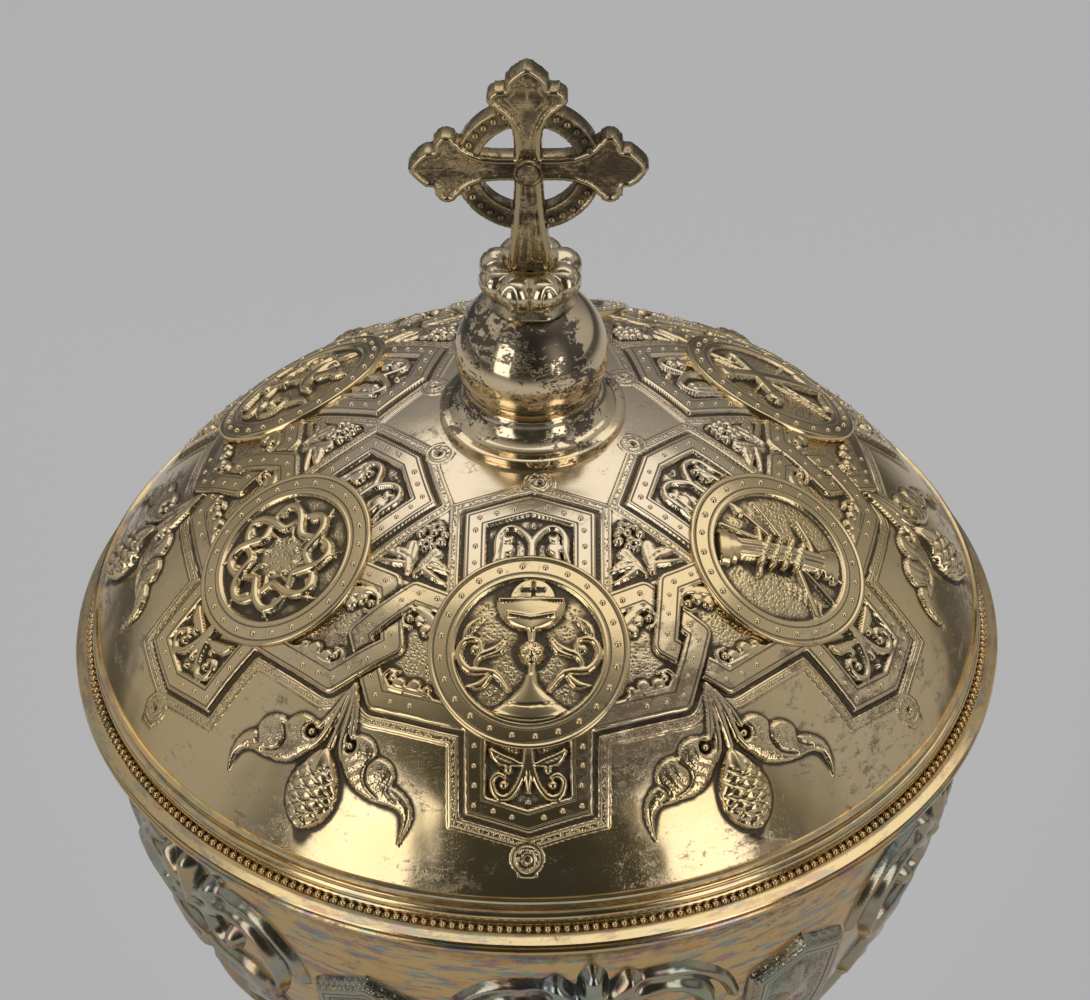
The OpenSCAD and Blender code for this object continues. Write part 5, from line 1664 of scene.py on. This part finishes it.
# the dome
for number in range(1, SECTORS + 1):
    dress(dome_sector(number), LID_GILT, LID, ["lid_dome"], "lid_gilt")
    dress(medallion_piece(number), PLATE_GILT, LID, [f"medallion_{number}"], "medallion_gilt")
    beads(f"medallion_pearls_{number}", rim_pearls(number), 0.46, 0.85, 0.08, number, PEARL_GILT, LID,
          [f"medallion_{number}"], "medallion_gilt")
beads("lid_strap_pearls", strap_pearls(), 0.40, 0.85, 0.1, 3, PEARL_GILT, LID, ["lid_dome"], "lid_gilt")
crown_out = [(DOME_R * math.sin(t), DOME_Z + DOME_R * math.cos(t)) for t in np.linspace(ARC_START / DOME_R,
    STUD_R / DOME_R, 12)]
crown_in = [(DOME_UNDER_R * math.sin(t), DOME_Z + DOME_UNDER_R
    * math.cos(t)) for t in np.linspace(1.64 / DOME_UNDER_R, ARC_START / DOME_R, 12)]
turned("lid_dome_top", crown_out + crown_in, LID_GILT, LID, ["lid_dome"], "lid_gilt", 128, 2.0)

# the rim, its pearls and the bezel
rim = [(58.9, 204.07), (64.2, 204.07), (64.28, 204.2), (64.18, 204.42), (62.95, 204.95), (62.72, 205.12),
    (62.5, 205.0), (61.5, 204.9), (61.42, 205.62), (61.2, 205.85)]
rim += arc_points(60.85, 206.68, 0.9, 0.9, -62, 78, 12)
rim += [(60.98, 207.7), (60.7, 207.8), (60.55, 208.2), (60.72, 208.65), (61.2, 208.85), (61.5, 209.1),
    (61.5, 209.45), (61.15, 209.75), (60.7, 209.6), (60.0, 209.2), (58.9, 208.9)]
turned("lid_rim_mouldings", rim, RIM_GILT, LID, ["lid_rim"], "lid_gilt", 420, 0.42, 0.55, strength=1.3)
beads("lid_rim_pearls", ring_of_beads(315, 62.02, 205.2, 18), 0.5, 1.0, 0.05, 9, DARK_PEARL, LID,
      ["lid_pearl_wire"], "lid_gilt")
turned("lid_bezel_ring", [(56.4, 197.2), (56.6, 197.065), (57.0, 197.065), (57.2, 197.25), (57.2, 204.06),
    (58.9, 204.06), (58.9, 204.76), (56.4, 204.76)], FITTING, LID, ["lid_bezel"], "lid_gilt", 256, 1.5)

# the finial
collar = [(1.65, 240.4), (12.35, 240.25), (12.5, 241.2), (12.5, 242.45), (12.3, 242.62), (11.9, 242.68),
    (11.2, 242.8)]
collar += arc_points(12.2, 245.95, 3.3, 3.1, -112, -176, 10)
collar += [(8.8, 246.0), (9.0, 246.25), (8.9, 246.5), (8.5, 246.62), (1.65, 246.62)]
turned("finial_collar_flange", collar, ORB_GILT, LID, ["finial_collar"], "lid_gilt", 200, 0.5, 0.8)
orb = [(1.65, 246.5)] + arc_points(0, 251.66, 10.2, 10.2, math.degrees(math.asin(-5.16 / 10.2)),
    math.degrees(math.asin(8.95 / 10.2)), 60) + [(1.65, 260.6)]
turned("finial_orb_ball", orb, ORB_GILT, LID, ["finial_orb"], "lid_gilt", 160, 1.5, 1.2)


def crown_piece():
    """Eight curled leaves round the cross's foot."""
    count, segments = 8, 256
    base = [(4.4, 0.0), (6.1, 0.0), (6.4, 0.45), (5.9, 1.1), (5.2, 1.6)]
    curl = arc_points(4.75, 3.7, 2.35, 2.3, -75, 118, 34)
    inside = [(3.3, 5.35), (2.6, 5.2), (1.7, 5.1), (1.7, 0.0)]
    p = np.array(resampled(base + curl + inside, 0.35))
    n = len(p)
    a = np.linspace(0, 2 * math.pi, segments, endpoint=False)
    r, z = np.repeat(p[:, :1], segments, 1), np.repeat(p[:, 1:2], segments, 1)
    wave = np.abs(np.cos(count / 2 * (a + math.pi / count)))[None, :]
    lobe = wave**0.55
    out = smooth_step(3.0, 5.4, r) * smooth_step(1.0, 2.2, z)
    swing = np.arctan2(z - 3.7, r - 4.75)
    shape = 1 - 0.42 * (1 - lobe) * out
    r2 = 4.2 + (r - 4.2) * np.where(out > 0, shape, 1)
    z2 = z - 1.0 * (1 - lobe) * out * smooth_step(3.4, 5.6, z)
    side_on = np.arcsin(np.clip(np.sin(count / 2 * (a + math.pi / count)), -1, 1))[None, :]
    arcs = np.hypot(side_on * 1.5, swing + 0.15)
    ribs = -0.16 * smooth_step(0.14, 0.05, np.abs(arcs - 0.95)) * out
    r2, z2 = r2 + ribs * np.cos(swing), z2 + ribs * np.sin(swing) + 260.61
    leaf_low = 0.25 * np.cos(count * (a + math.pi / count))[None, :] * smooth_step(1.6, 0.6,
        z) * smooth_step(-0.1, 0.3, z) * (r > 4.8)
    r2 = r2 + leaf_low
    points = np.stack([r2 * np.sin(a)[None, :], -r2 * np.cos(a)[None, :], z2], -1).reshape(-1, 3)
    relief = (0.25 * (lobe - 0.6) * out + ribs * 1.6 + leaf_low * 0.2 - 0.12 * smooth_step(2.4, 1.6, z)
        * (r > 4.8)).ravel()
    return mesh_object("finial_crown_leaves", points, [ring_quads(n, segments)], {"relief": relief})


dress(crown_piece(), CROWN_GILT, LID, ["finial_crown"], "finial_cast_gilt")
CROSS_Z = 281.41
CROSS_PEARL_RING_R, CROSS_PEARL_Y = 8.42, 1.12
cross = sheet_casting("finial_cross_casting", cross_face, 1.3, (-15.8, 15.8, -16.4, 15.8), 0.19 * FINE,
    CROSS_Z)
dress(cross, CAST_GILT, LID, ["finial_cross"], "finial_cast_gilt")
angles = np.concatenate([np.radians(90 * q + np.array([20, 31, 42, 53, 64])) for q in range(4)])
for face in (-1, 1):
    around = [CROSS_PEARL_RING_R * np.cos(angles), CROSS_Z + CROSS_PEARL_RING_R * np.sin(angles)]
    places = np.stack([around[0], np.full(angles.shape, face * CROSS_PEARL_Y), around[1]], -1)
    axes = np.tile([0, face, 0], (len(angles), 1))
    beads("cross_ring_pearls_" + ("front" if face < 0 else "back"), (places, axes), 0.6, 0.8, 0.08, 13,
        CAST_GILT, LID, ["finial_cross"], "finial_cast_gilt")


def rivet_piece():
    """The boss on the crossing: a round head with a sunk ring, front and back."""
    outline = [(0.0, 2.58), (0.9, 2.6), (1.38, 2.52), (1.5, 2.3), (1.72, 2.42), (1.98, 2.2), (2.06, 1.7),
        (2.04, 1.2)]
    rows = outline + [(r, -y) for r, y in outline[::-1]]
    seg = 64
    a = np.linspace(0, 2 * math.pi, seg, endpoint=False)
    pts = np.array([[(r * math.cos(t), -y, CROSS_Z + r * math.sin(t)) for t in a] for r,
        y in rows[1:-1]]).reshape(-1, 3)
    n = len(rows) - 2
    faces = [grid_quads(n, seg, 0, True)]
    centre = len(pts)
    pts = np.concatenate([pts, [[0, -2.58, CROSS_Z], [0, 2.58, CROSS_Z]]])
    first = np.arange(seg)
    last = (n - 1) * seg + np.arange(seg)
    faces.append(np.stack([np.full(seg, centre), first, np.roll(first, -1)], -1))
    faces.append(np.stack([np.full(seg, centre + 1), np.roll(last, -1), last], -1))
    standing = np.repeat([0.0, 0.05, -0.2, 0.12, 0.05, 0, 0, 0, 0, 0, 0, 0.05, 0.12, -0.2], seg)[: n * seg]
    return mesh_object("cross_rivet_head", pts, faces, {"relief": np.concatenate([standing, [0, 0]])}, 50)


dress(rivet_piece(), CAST_GILT, LID, ["cross_rivet"], "finial_cast_gilt")

# the cup
FLARE_R, FLARE_H = 9.28, 8.386
flare_c = THROAT_R - 0.5 + FLARE_R
mouth_out = arc_points(flare_c, THROAT_Z, FLARE_R - 0.5, FLARE_H - 0.5, 180, 118, 10)
mouth_in = arc_points(flare_c, THROAT_Z, FLARE_R + 0.5, FLARE_H + 0.5, 118, 180, 10)
bowl = [(0.4, 134.2), (9.0, 134.0)] + arc_points(0, THROAT_Z, THROAT_R, BOWL_DEPTH, -81, -1,
    34) + mouth_out + mouth_in
bowl += arc_points(0, THROAT_Z, THROAT_R - 1.0, 60.27, -1, -89.6, 26)
turned("cup_bowl_shell", bowl, CUP_GILT, BASE, ["cup_bowl"], "cup_gilt", 256, 6.0, 2.0)
lip = arc_points(63.45, 202.86, 0.74, 0.74, 0, 340, 18)
turned("cup_lip_edge", lip, CUP_GILT, BASE, ["cup_lip_wire"], "cup_gilt", 288, 0.5, 0.5)
for number in range(1, SECTORS + 1):
    dress(cage_sector(number), CAGE_METAL, BASE, ["cup_cage"], "cage_patina")


def calyx_design(angle, along, r, z):
    relief = Relief(angle.shape)
    wave = np.abs(np.cos(np.radians(angle * 6)))
    rise = smooth_step(128.6, 131.0, z) * smooth_step(142.9, 140.5, z) * (r > 12.0)
    relief.high = rise * (0.9 * wave**0.6 - 0.25)
    return relief


calyx = [(9.0, 128.0), (12.5, 128.0), (12.9, 128.6), (12.6, 129.2), (15.5, 131.2), (20, 133.4), (26, 137.4),
    (30, 140.6), (32.4, 142.7), (31.4, 143.3)]
calyx += [(28.0, 140.8), (22.0, 137.4), (15.0, 134.9), (9.0, 133.9)]
turned("cup_calyx_leaves", calyx, KNOP_GILT, BASE, ["cup_calyx"], "foot_gilt", 240, 1.0, 1.2, calyx_design)


def ring_profile(outer, bore, z, h):
    return [(bore, z + 0.05), (outer - h / 2, z + 0.05)] + arc_points(outer - h / 2, z + h / 2, h / 2,
        h / 2 - 0.05, -85, 85, 12) + [(outer - h / 2, z + h - 0.05), (bore, z + h - 0.05)]


def stem_profile(z, l):
    left = arc_points(8.8, z + l / 2, 1.8, l / 2 - 1.6, 265, 95, 24)
    return [(3.4, z), (8.75, z), (8.95, z + 0.5), (8.6, z + 1.1),
        (8.8, z + 1.45)] + left + [(8.8, z + l - 1.45), (8.6, z + l - 1.1), (8.95, z + l - 0.5),
        (8.75, z + l), (3.4, z + l)]


def stem_design(angle, along, r, z):
    relief = Relief(angle.shape)
    low, high = z.min(), z.max()
    mid = smooth_step(low + 3.0, low + 4.5, z) * smooth_step(high - 3.0, high - 4.5, z) * (r > 6)
    wave = np.cos(np.radians(angle * 6 + (z - low) * 9))
    relief.high = mid * 0.22 * wave
    relief.matte = mid * smooth_step(-0.1, -0.5, wave)
    return relief


for name, z, h, outer, slot, node in (("cup_collar_ring", 124.0, 4.0, 12.5, "foot_gilt", "cup_collar"),
        ("knop_ring_upper_bead", 102.0, 4.0, 11.5, "knop_gilt", "knop_ring_upper"),
        ("knop_ring_lower_bead", 66.0, 4.0, 11.5, "knop_gilt", "knop_ring_lower"),
        ("foot_neck_bead", 40.0, 5.0, 14.5, "foot_gilt", "foot_neck_ring")):
    def roped(angle, along, r, z, h=h, outer=outer):
        relief = Relief(angle.shape)
        out = smooth_step(outer - h / 2, outer - 0.2, r)
        wave = np.cos(np.radians(angle * 24 + (z - z.mean()) * 60))
        relief.high = out * 0.28 * wave
        return relief
    turned(name, ring_profile(outer, 3.4, z, h), KNOP_GILT, BASE, [node], slot, 240, 0.9, 0.8, roped)
for name, z, l in (("stem_upper", 106.0, 18.0), ("stem_lower", 45.0, 21.0)):
    turned(name + "_shaft", stem_profile(z, l), FOOT_GILT, BASE, [name], "foot_gilt", 180, 1.0, 0.8,
        stem_design)


def gadroons(angle, along, r, z):
    """Twelve lobes that narrow toward the stem, parted by beaded grooves."""
    relief = Relief(angle.shape)
    wave = np.abs(np.cos(np.radians(angle * 6)))
    out = smooth_step(11.8, 13.4, r) * smooth_step(23.96, 23.3, r)
    relief.high = out * (0.9 * wave**0.5 - 0.9)
    relief.matte = out * smooth_step(0.3, 0.12, wave)
    return relief


KNOP_MID_Z = 86.0
half = arc_points(0, 0, 24.0, 13.65, 0, 61.4, 34)
inner = arc_points(0, 0, 22.8, 12.6, 58, 0, 14)
up = [(r, 90.0 + z) for r, z in half] + [(11.5, 102.0), (3.4, 102.0), (3.4, 100.8)] + [(r, 90.0 + z) for r,
    z in inner]
down = [(r, 2 * KNOP_MID_Z - z) for r, z in up][::-1]
turned("knop_upper_lobes", up, KNOP_GILT, BASE, ["knop_upper"], "knop_gilt", 240, 1.1, 1.2, gadroons)
turned("knop_lower_lobes", down, KNOP_GILT, BASE, ["knop_lower"], "knop_gilt", 240, 1.1, 1.2, gadroons)


def knop_frieze(angle, along, r, z):
    relief = Relief(angle.shape)
    out = smooth_step(23.4, 23.7, r)
    y = z - KNOP_MID_Z
    relief.high = out * (0.28 * smooth_step(0.35, 0.15, np.abs(np.abs(y) - 3.3)) - 0.25
        * smooth_step(2.95, 2.75, np.abs(y)))
    t = np.mod(angle + 30, 60) - 30
    p = np.abs(t) / 30 * 12.6
    for path in ([(5.2, 0, 0.45), (7.6, 1.5, 0.75), (10.0, 1.2, 0.4)],
            [(5.2, 0, 0.45), (7.6, -1.5, 0.75), (10.0, -1.2, 0.4)], [(9.4, 0, 0.7), (12.6, 0, 0.7)]):
        d = stroke(p, y, path)
        relief.high = np.where(d < 0, np.maximum(relief.high,
            0.45 * np.sqrt(np.clip(1 - (1 + d / 0.5) ** 2, 0, 1)) - 0.05), relief.high)
    relief.matte = out * (np.abs(y) < 2.8) * smooth_step(-0.1, -0.2, relief.high)
    return relief


turned("knop_frieze", [(21.6, 82.02), (24.0, 82.02), (24.0, 89.98), (21.6, 89.98)], KNOP_GILT, BASE,
    ["knop_band"], "knop_gilt", 420, 0.34, 0.8, knop_frieze, shown=3)


def boss_piece(number):
    """A round boss with petals about a domed centre, on the knop's band."""
    seg = 72
    rows = [(3.6, 23.2), (3.6, 24.4), (3.3, 24.75), (2.9, 24.6), (2.5, 25.0), (2.0, 25.3), (1.6, 25.1),
        (1.35, 25.6), (0.9, 26.2), (0.45, 26.6)]
    a = np.linspace(0, 2 * math.pi, seg, endpoint=False)
    pts, rel = [], []
    for r, y in rows:
        petal = 0.45 * np.abs(np.cos(4 * a)) if 1.6 < r < 3.2 else 0 * a
        pts.append(np.stack([r * np.sin(a), -(y + petal), KNOP_MID_Z + r * np.cos(a)], -1))
        rel.append(petal - 0.22 if 1.6 < r < 3.2 else 0 * a)
    pts = np.concatenate(pts + [np.array([[0, -26.75, KNOP_MID_Z], [0, -23.2, KNOP_MID_Z]])])
    n = len(rows)
    faces = [grid_quads(n, seg, 0, True)]
    first, last = np.arange(seg), (n - 1) * seg + np.arange(seg)
    faces.append(np.stack([np.full(seg, n * seg), np.roll(last, -1), last], -1))
    faces.append(np.stack([np.full(seg, n * seg + 1), first, np.roll(first, -1)], -1))
    layers = {"relief": np.concatenate(rel + [np.zeros(2)])}
    return mesh_object(f"knop_boss_flower_{number}", turned_about_z(pts, SECTOR_A * (number - 1)), faces,
        layers, 50)


for number in range(1, SECTORS + 1):
    dress(boss_piece(number), PLATE_GILT, BASE, [f"knop_boss_{number}"], "knop_gilt")

# the foot
FOOT_EDGE_R, PANEL_MID = 69.4, 33.0
FOOT_LOW = arc_points(44, 10.9, FOOT_EDGE_R - 44, 11.0, 0, 90, 30)
FOOT_HIGH = arc_points(44, 40.0, 32.0, 18.1, 270, 181, 40)
foot = [(73, 9.5), (73, 10.9)] + FOOT_LOW + FOOT_HIGH[1:] + [(11.9, 40.0), (3.4, 40.0), (3.4, 38.6)]
foot_shown = len(foot) - 3
foot += arc_points(42.6, 38.6, 32.0, 18.1, 180, 270, 12) + arc_points(42.6, 9.5, FOOT_EDGE_R - 44, 11.0, 90,
    0, 10)


def foot_design(angle, along, r, z):
    """Six pointed panels with roundels on the foot's shoulder, as the lid has them."""
    relief = Relief(angle.shape)
    outer = (r > 12.2) & (z > 10.95)
    t = np.mod(angle + 30, 60) - 30
    side = np.radians(t) * r
    s = np.where(outer, along - along[0, 0], 0)
    v = PANEL_MID - s
    p = np.abs(side)
    panel = np.maximum(p - 10.5 - 0.12 * (s - PANEL_MID), np.maximum(s - 52 + 0.45 * p, -(s - 14) + 0.35 * p))
    roundel = np.hypot(side, v) - 10.0
    whole = np.where(outer, np.minimum(panel, roundel), 9.0)
    relief.high = np.where((whole > 0.6) & (whole < 2.2), 0.05, relief.high)
    place = (whole - 0.6) / 1.7
    relief.border = np.where((place > 0) & (place < 1), 2 * np.minimum(place, 1 - place), 0)
    wires = smooth_step(0.2, 0.08, np.abs(np.abs(place - 0.5) - 0.42)) * (place > 0) * (place < 1)
    relief.high = relief.high + 0.12 * wires
    relief.high = np.where((whole > 0) & (whole <= 0.6), -0.35, relief.high)
    relief.band(whole, 0.45, -whole)
    relief.edge = np.where(whole < 0, np.minimum(-whole, np.abs(whole + 3.2)), 0)
    opening = whole + 3.2
    relief.sink(opening, 0.3)
    relief.edge = np.where(opening < 0, 0, relief.edge)
    ring = np.hypot(side, v)
    relief.raised(np.where(outer, np.abs(ring - 8.2) - 1.1, 9), 0.5, 0.5, base=0.2)
    for k in range(8):
        a = math.radians(45 * k)
        relief.raised(np.where(outer, stroke(side, v, [(0.8 * math.cos(a), 0.8 * math.sin(a), 0.5),
            (3.4 * math.cos(a), 3.4 * math.sin(a), 1.25), (5.9 * math.cos(a), 5.9 * math.sin(a), 0.3)]), 9),
            0.7, 0.8)
    relief.raised(np.where(outer, ring - 1.3, 9), 0.9, 1.2, base=0.3)
    q = 30 - np.abs(t)
    gap = np.radians(q) * r
    relief.raised(np.where(outer, stroke(gap, s, [(0, 20, 0.6), (0, 29, 1.5), (0, 37, 0.3)]), 9), 0.8, 1.0,
        base=0.05)
    relief.raised(np.where(outer, stroke(gap, s, spline([(0.3, 19, 0.4), (3.0, 15.5, 1.3),
        (6.4, 13.8, 0.3)])), 9), 0.7, 0.9, base=0.05)
    relief.raised(np.where(outer, stroke(gap, s, spline([(0.3, 31, 0.4), (2.6, 34.5, 1.1),
        (4.6, 38, 0.2)])), 9), 0.7, 0.9, base=0.05)
    relief.high = relief.high * outer
    return relief


turned("foot_shell", foot, FOOT_GILT, BASE, ["foot_dome"], "foot_gilt", 400, 0.9, 1.5, foot_design,
    sharp=60, shown=foot_shown)
beads("foot_edge_pearls", ring_of_beads(250, 72.1, 11.65, 35), 0.88, 1.0, 0.04, 17, DARK_PEARL, BASE,
      ["foot_pearl_wire"], "foot_gilt")


def gallery_design(angle, along, r, z):
    """Pierced-looking quatrefoils between two fillets."""
    relief = Relief(angle.shape)
    out = r > 72.2
    y = z - 6.5
    t = np.mod(angle + 2.5, 5) - 2.5
    x = np.abs(np.radians(t) * 73)
    four = np.minimum(np.hypot(x - 0.85, y) - 0.8, np.hypot(x, np.abs(y) - 0.85) - 0.8)
    relief.high = np.where(out, -0.9 * smooth_step(0.1, -0.15, four), 0)
    bud = np.abs(x - 3.18) * 1.6 + np.abs(y) * 0.8 - 1.2
    relief.high = np.where(out & (bud < 0), -0.45, relief.high)
    relief.high = relief.high + out * 0.25 * smooth_step(0.4, 0.2, np.abs(np.abs(y) - 2.5))
    relief.matte = np.where(out & (four < -0.1), 1.0, 0.0)
    return relief


turned("foot_gallery_band", [(71.0, 3.5), (73.0, 3.5), (73.0, 9.5), (71.0, 9.5)], FOOT_GILT, BASE,
    ["foot_gallery"], "foot_gilt", 792, 0.4, 0.6, gallery_design, sharp=60, shown=3)
base_ring = [(64.0, 0.0), (75.2, 0.0), (75.9, 0.5)] + arc_points(74.25, 1.9, 1.7, 1.55, -50, 88,
    12) + [(73.2, 3.5), (64.0, 3.5)]
turned("foot_base_moulding", base_ring, FOOT_GILT, BASE, ["foot_base_ring"], "foot_gilt", 256, 1.4, 1.2)

# fittings that stay as the solids are
for node in ("finial_stud", "lid_washer", "lid_nut", "bowl_boss", "tie_rod", "clamp_plate", "foot_nut"):
    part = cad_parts[node]
    part.data.materials.clear()
    part.data.materials.append(FITTING)

# ---------------------------------------------------------------- floor, lights and camera
scene = bpy.context.scene


def floor_material():
    """Grey paper with painted shade: it darkens far from the object, standing in for the lamps' light falling
    off.
    """
    material, n, shader = new_material("studio_floor")
    c = n.coords()
    away = n.add("ShaderNodeVectorMath", operation="LENGTH")
    n.put(away.inputs[0], c)
    paper = n.mix(n.noise(c, 3, 2), (0.79, 0.79, 0.795), (0.81, 0.81, 0.81))
    # painted shade: from 0.55 m to 1.3 m out the paper is painted dark grey
    n.put(shader.inputs["Base Color"], n.mix(n.step(away.outputs["Value"], 0.55, 1.3), paper,
        (0.16, 0.16, 0.16)))
    shader.inputs["Roughness"].default_value = 0.9
    return material


floor_mesh = bpy.data.meshes.new("studio_floor")
FLOOR_HALF = 6.0
floor_corners = [(x * FLOOR_HALF, y * FLOOR_HALF, 0.0) for x, y in ((-1, -1), (1, -1), (1, 1), (-1, 1))]
floor_mesh.from_pydata(floor_corners, [], [(0, 1, 2, 3)])
floor = bpy.data.objects.new("studio_floor", floor_mesh)
scene.collection.objects.link(floor)
floor.data.materials.append(floor_material())


def softbox(name, place, target, wide, high, watts):
    light = bpy.data.lights.new(name, "AREA")
    light.shape, light.size, light.size_y, light.energy = "RECTANGLE", wide, high, watts
    obj = bpy.data.objects.new(name, light)
    scene.collection.objects.link(obj)
    back = Vector(place) - Vector(target)
    obj.location = place
    obj.rotation_mode = "QUATERNION"
    obj.rotation_quaternion = back.to_track_quat("Z", "Y")


AIM = (0, 0, 0.22)
softbox("softbox_left", (-0.92, -1.02, 0.62), AIM, 0.62, 1.25, 4.2)
softbox("softbox_right", (0.92, -1.05, 0.62), AIM, 0.50, 1.25, 3.4)
softbox("softbox_above", (0.15, 0.55, 1.85), AIM, 2.3, 1.7, 9.0)

world = bpy.data.worlds.new("studio")
scene.world = world
world.use_nodes = True
n = Nodes(world.node_tree)
background = world.node_tree.nodes["Background"]
sky = n.add("ShaderNodeTexCoord").outputs["Generated"]
split = n.add("ShaderNodeSeparateXYZ")
n.put(split.inputs[0], sky)
lift = n.ramp(n.math("MULTIPLY_ADD", split.outputs[2], 0.5, 0.5),
    [(0.45, (0.05, 0.05, 0.05)), (0.52, (0.20, 0.20, 0.205)), (0.7, (0.26, 0.26, 0.265)),
    (0.9, (0.42, 0.42, 0.42))])
front = n.step(split.outputs[1], -0.1, -0.6)
side = n.step(n.math("ABSOLUTE", split.outputs[0]), 0.55, 0.95, 0.0, 0.5)
lift = n.mix(side, lift, (0.62, 0.62, 0.63))
n.put(background.inputs[0], n.mix(n.math("MULTIPLY", front, 0.92), lift, (0.016, 0.018, 0.012)))
background.inputs[1].default_value = 1.0

camera_data = bpy.data.cameras.new("view_camera")
camera = bpy.data.objects.new("view_camera", camera_data)
scene.collection.objects.link(camera)
scene.camera = camera
camera_data.sensor_width, camera_data.lens = 36.0, 139.65
camera_data.clip_end = 20.0
TURN, ELEVATION, DISTANCE, PAN, TILT, ROLL = 1.58, 40.255, 591.34, -0.145, 1.584, 1.014
e = math.radians(ELEVATION)
spot = Matrix.Rotation(math.radians(TURN), 4, "Z") @ Matrix.Translation((0, -DISTANCE * MM * math.cos(e),
    DISTANCE * MM * math.sin(e)))
aim = Matrix.Rotation(math.radians(TURN), 4, "Z") @ Matrix.Rotation(math.radians(90) - e, 4, "X")
local = Matrix.Rotation(math.radians(PAN), 4, "Y") @ Matrix.Rotation(math.radians(TILT), 4,
    "X") @ Matrix.Rotation(math.radians(-ROLL), 4, "Z")
camera.matrix_world = Matrix.Translation((0, 0, PEARL_Z
    * MM)) @ Matrix.Translation(spot.translation) @ aim @ local
scene.view_settings.view_transform = "Standard"
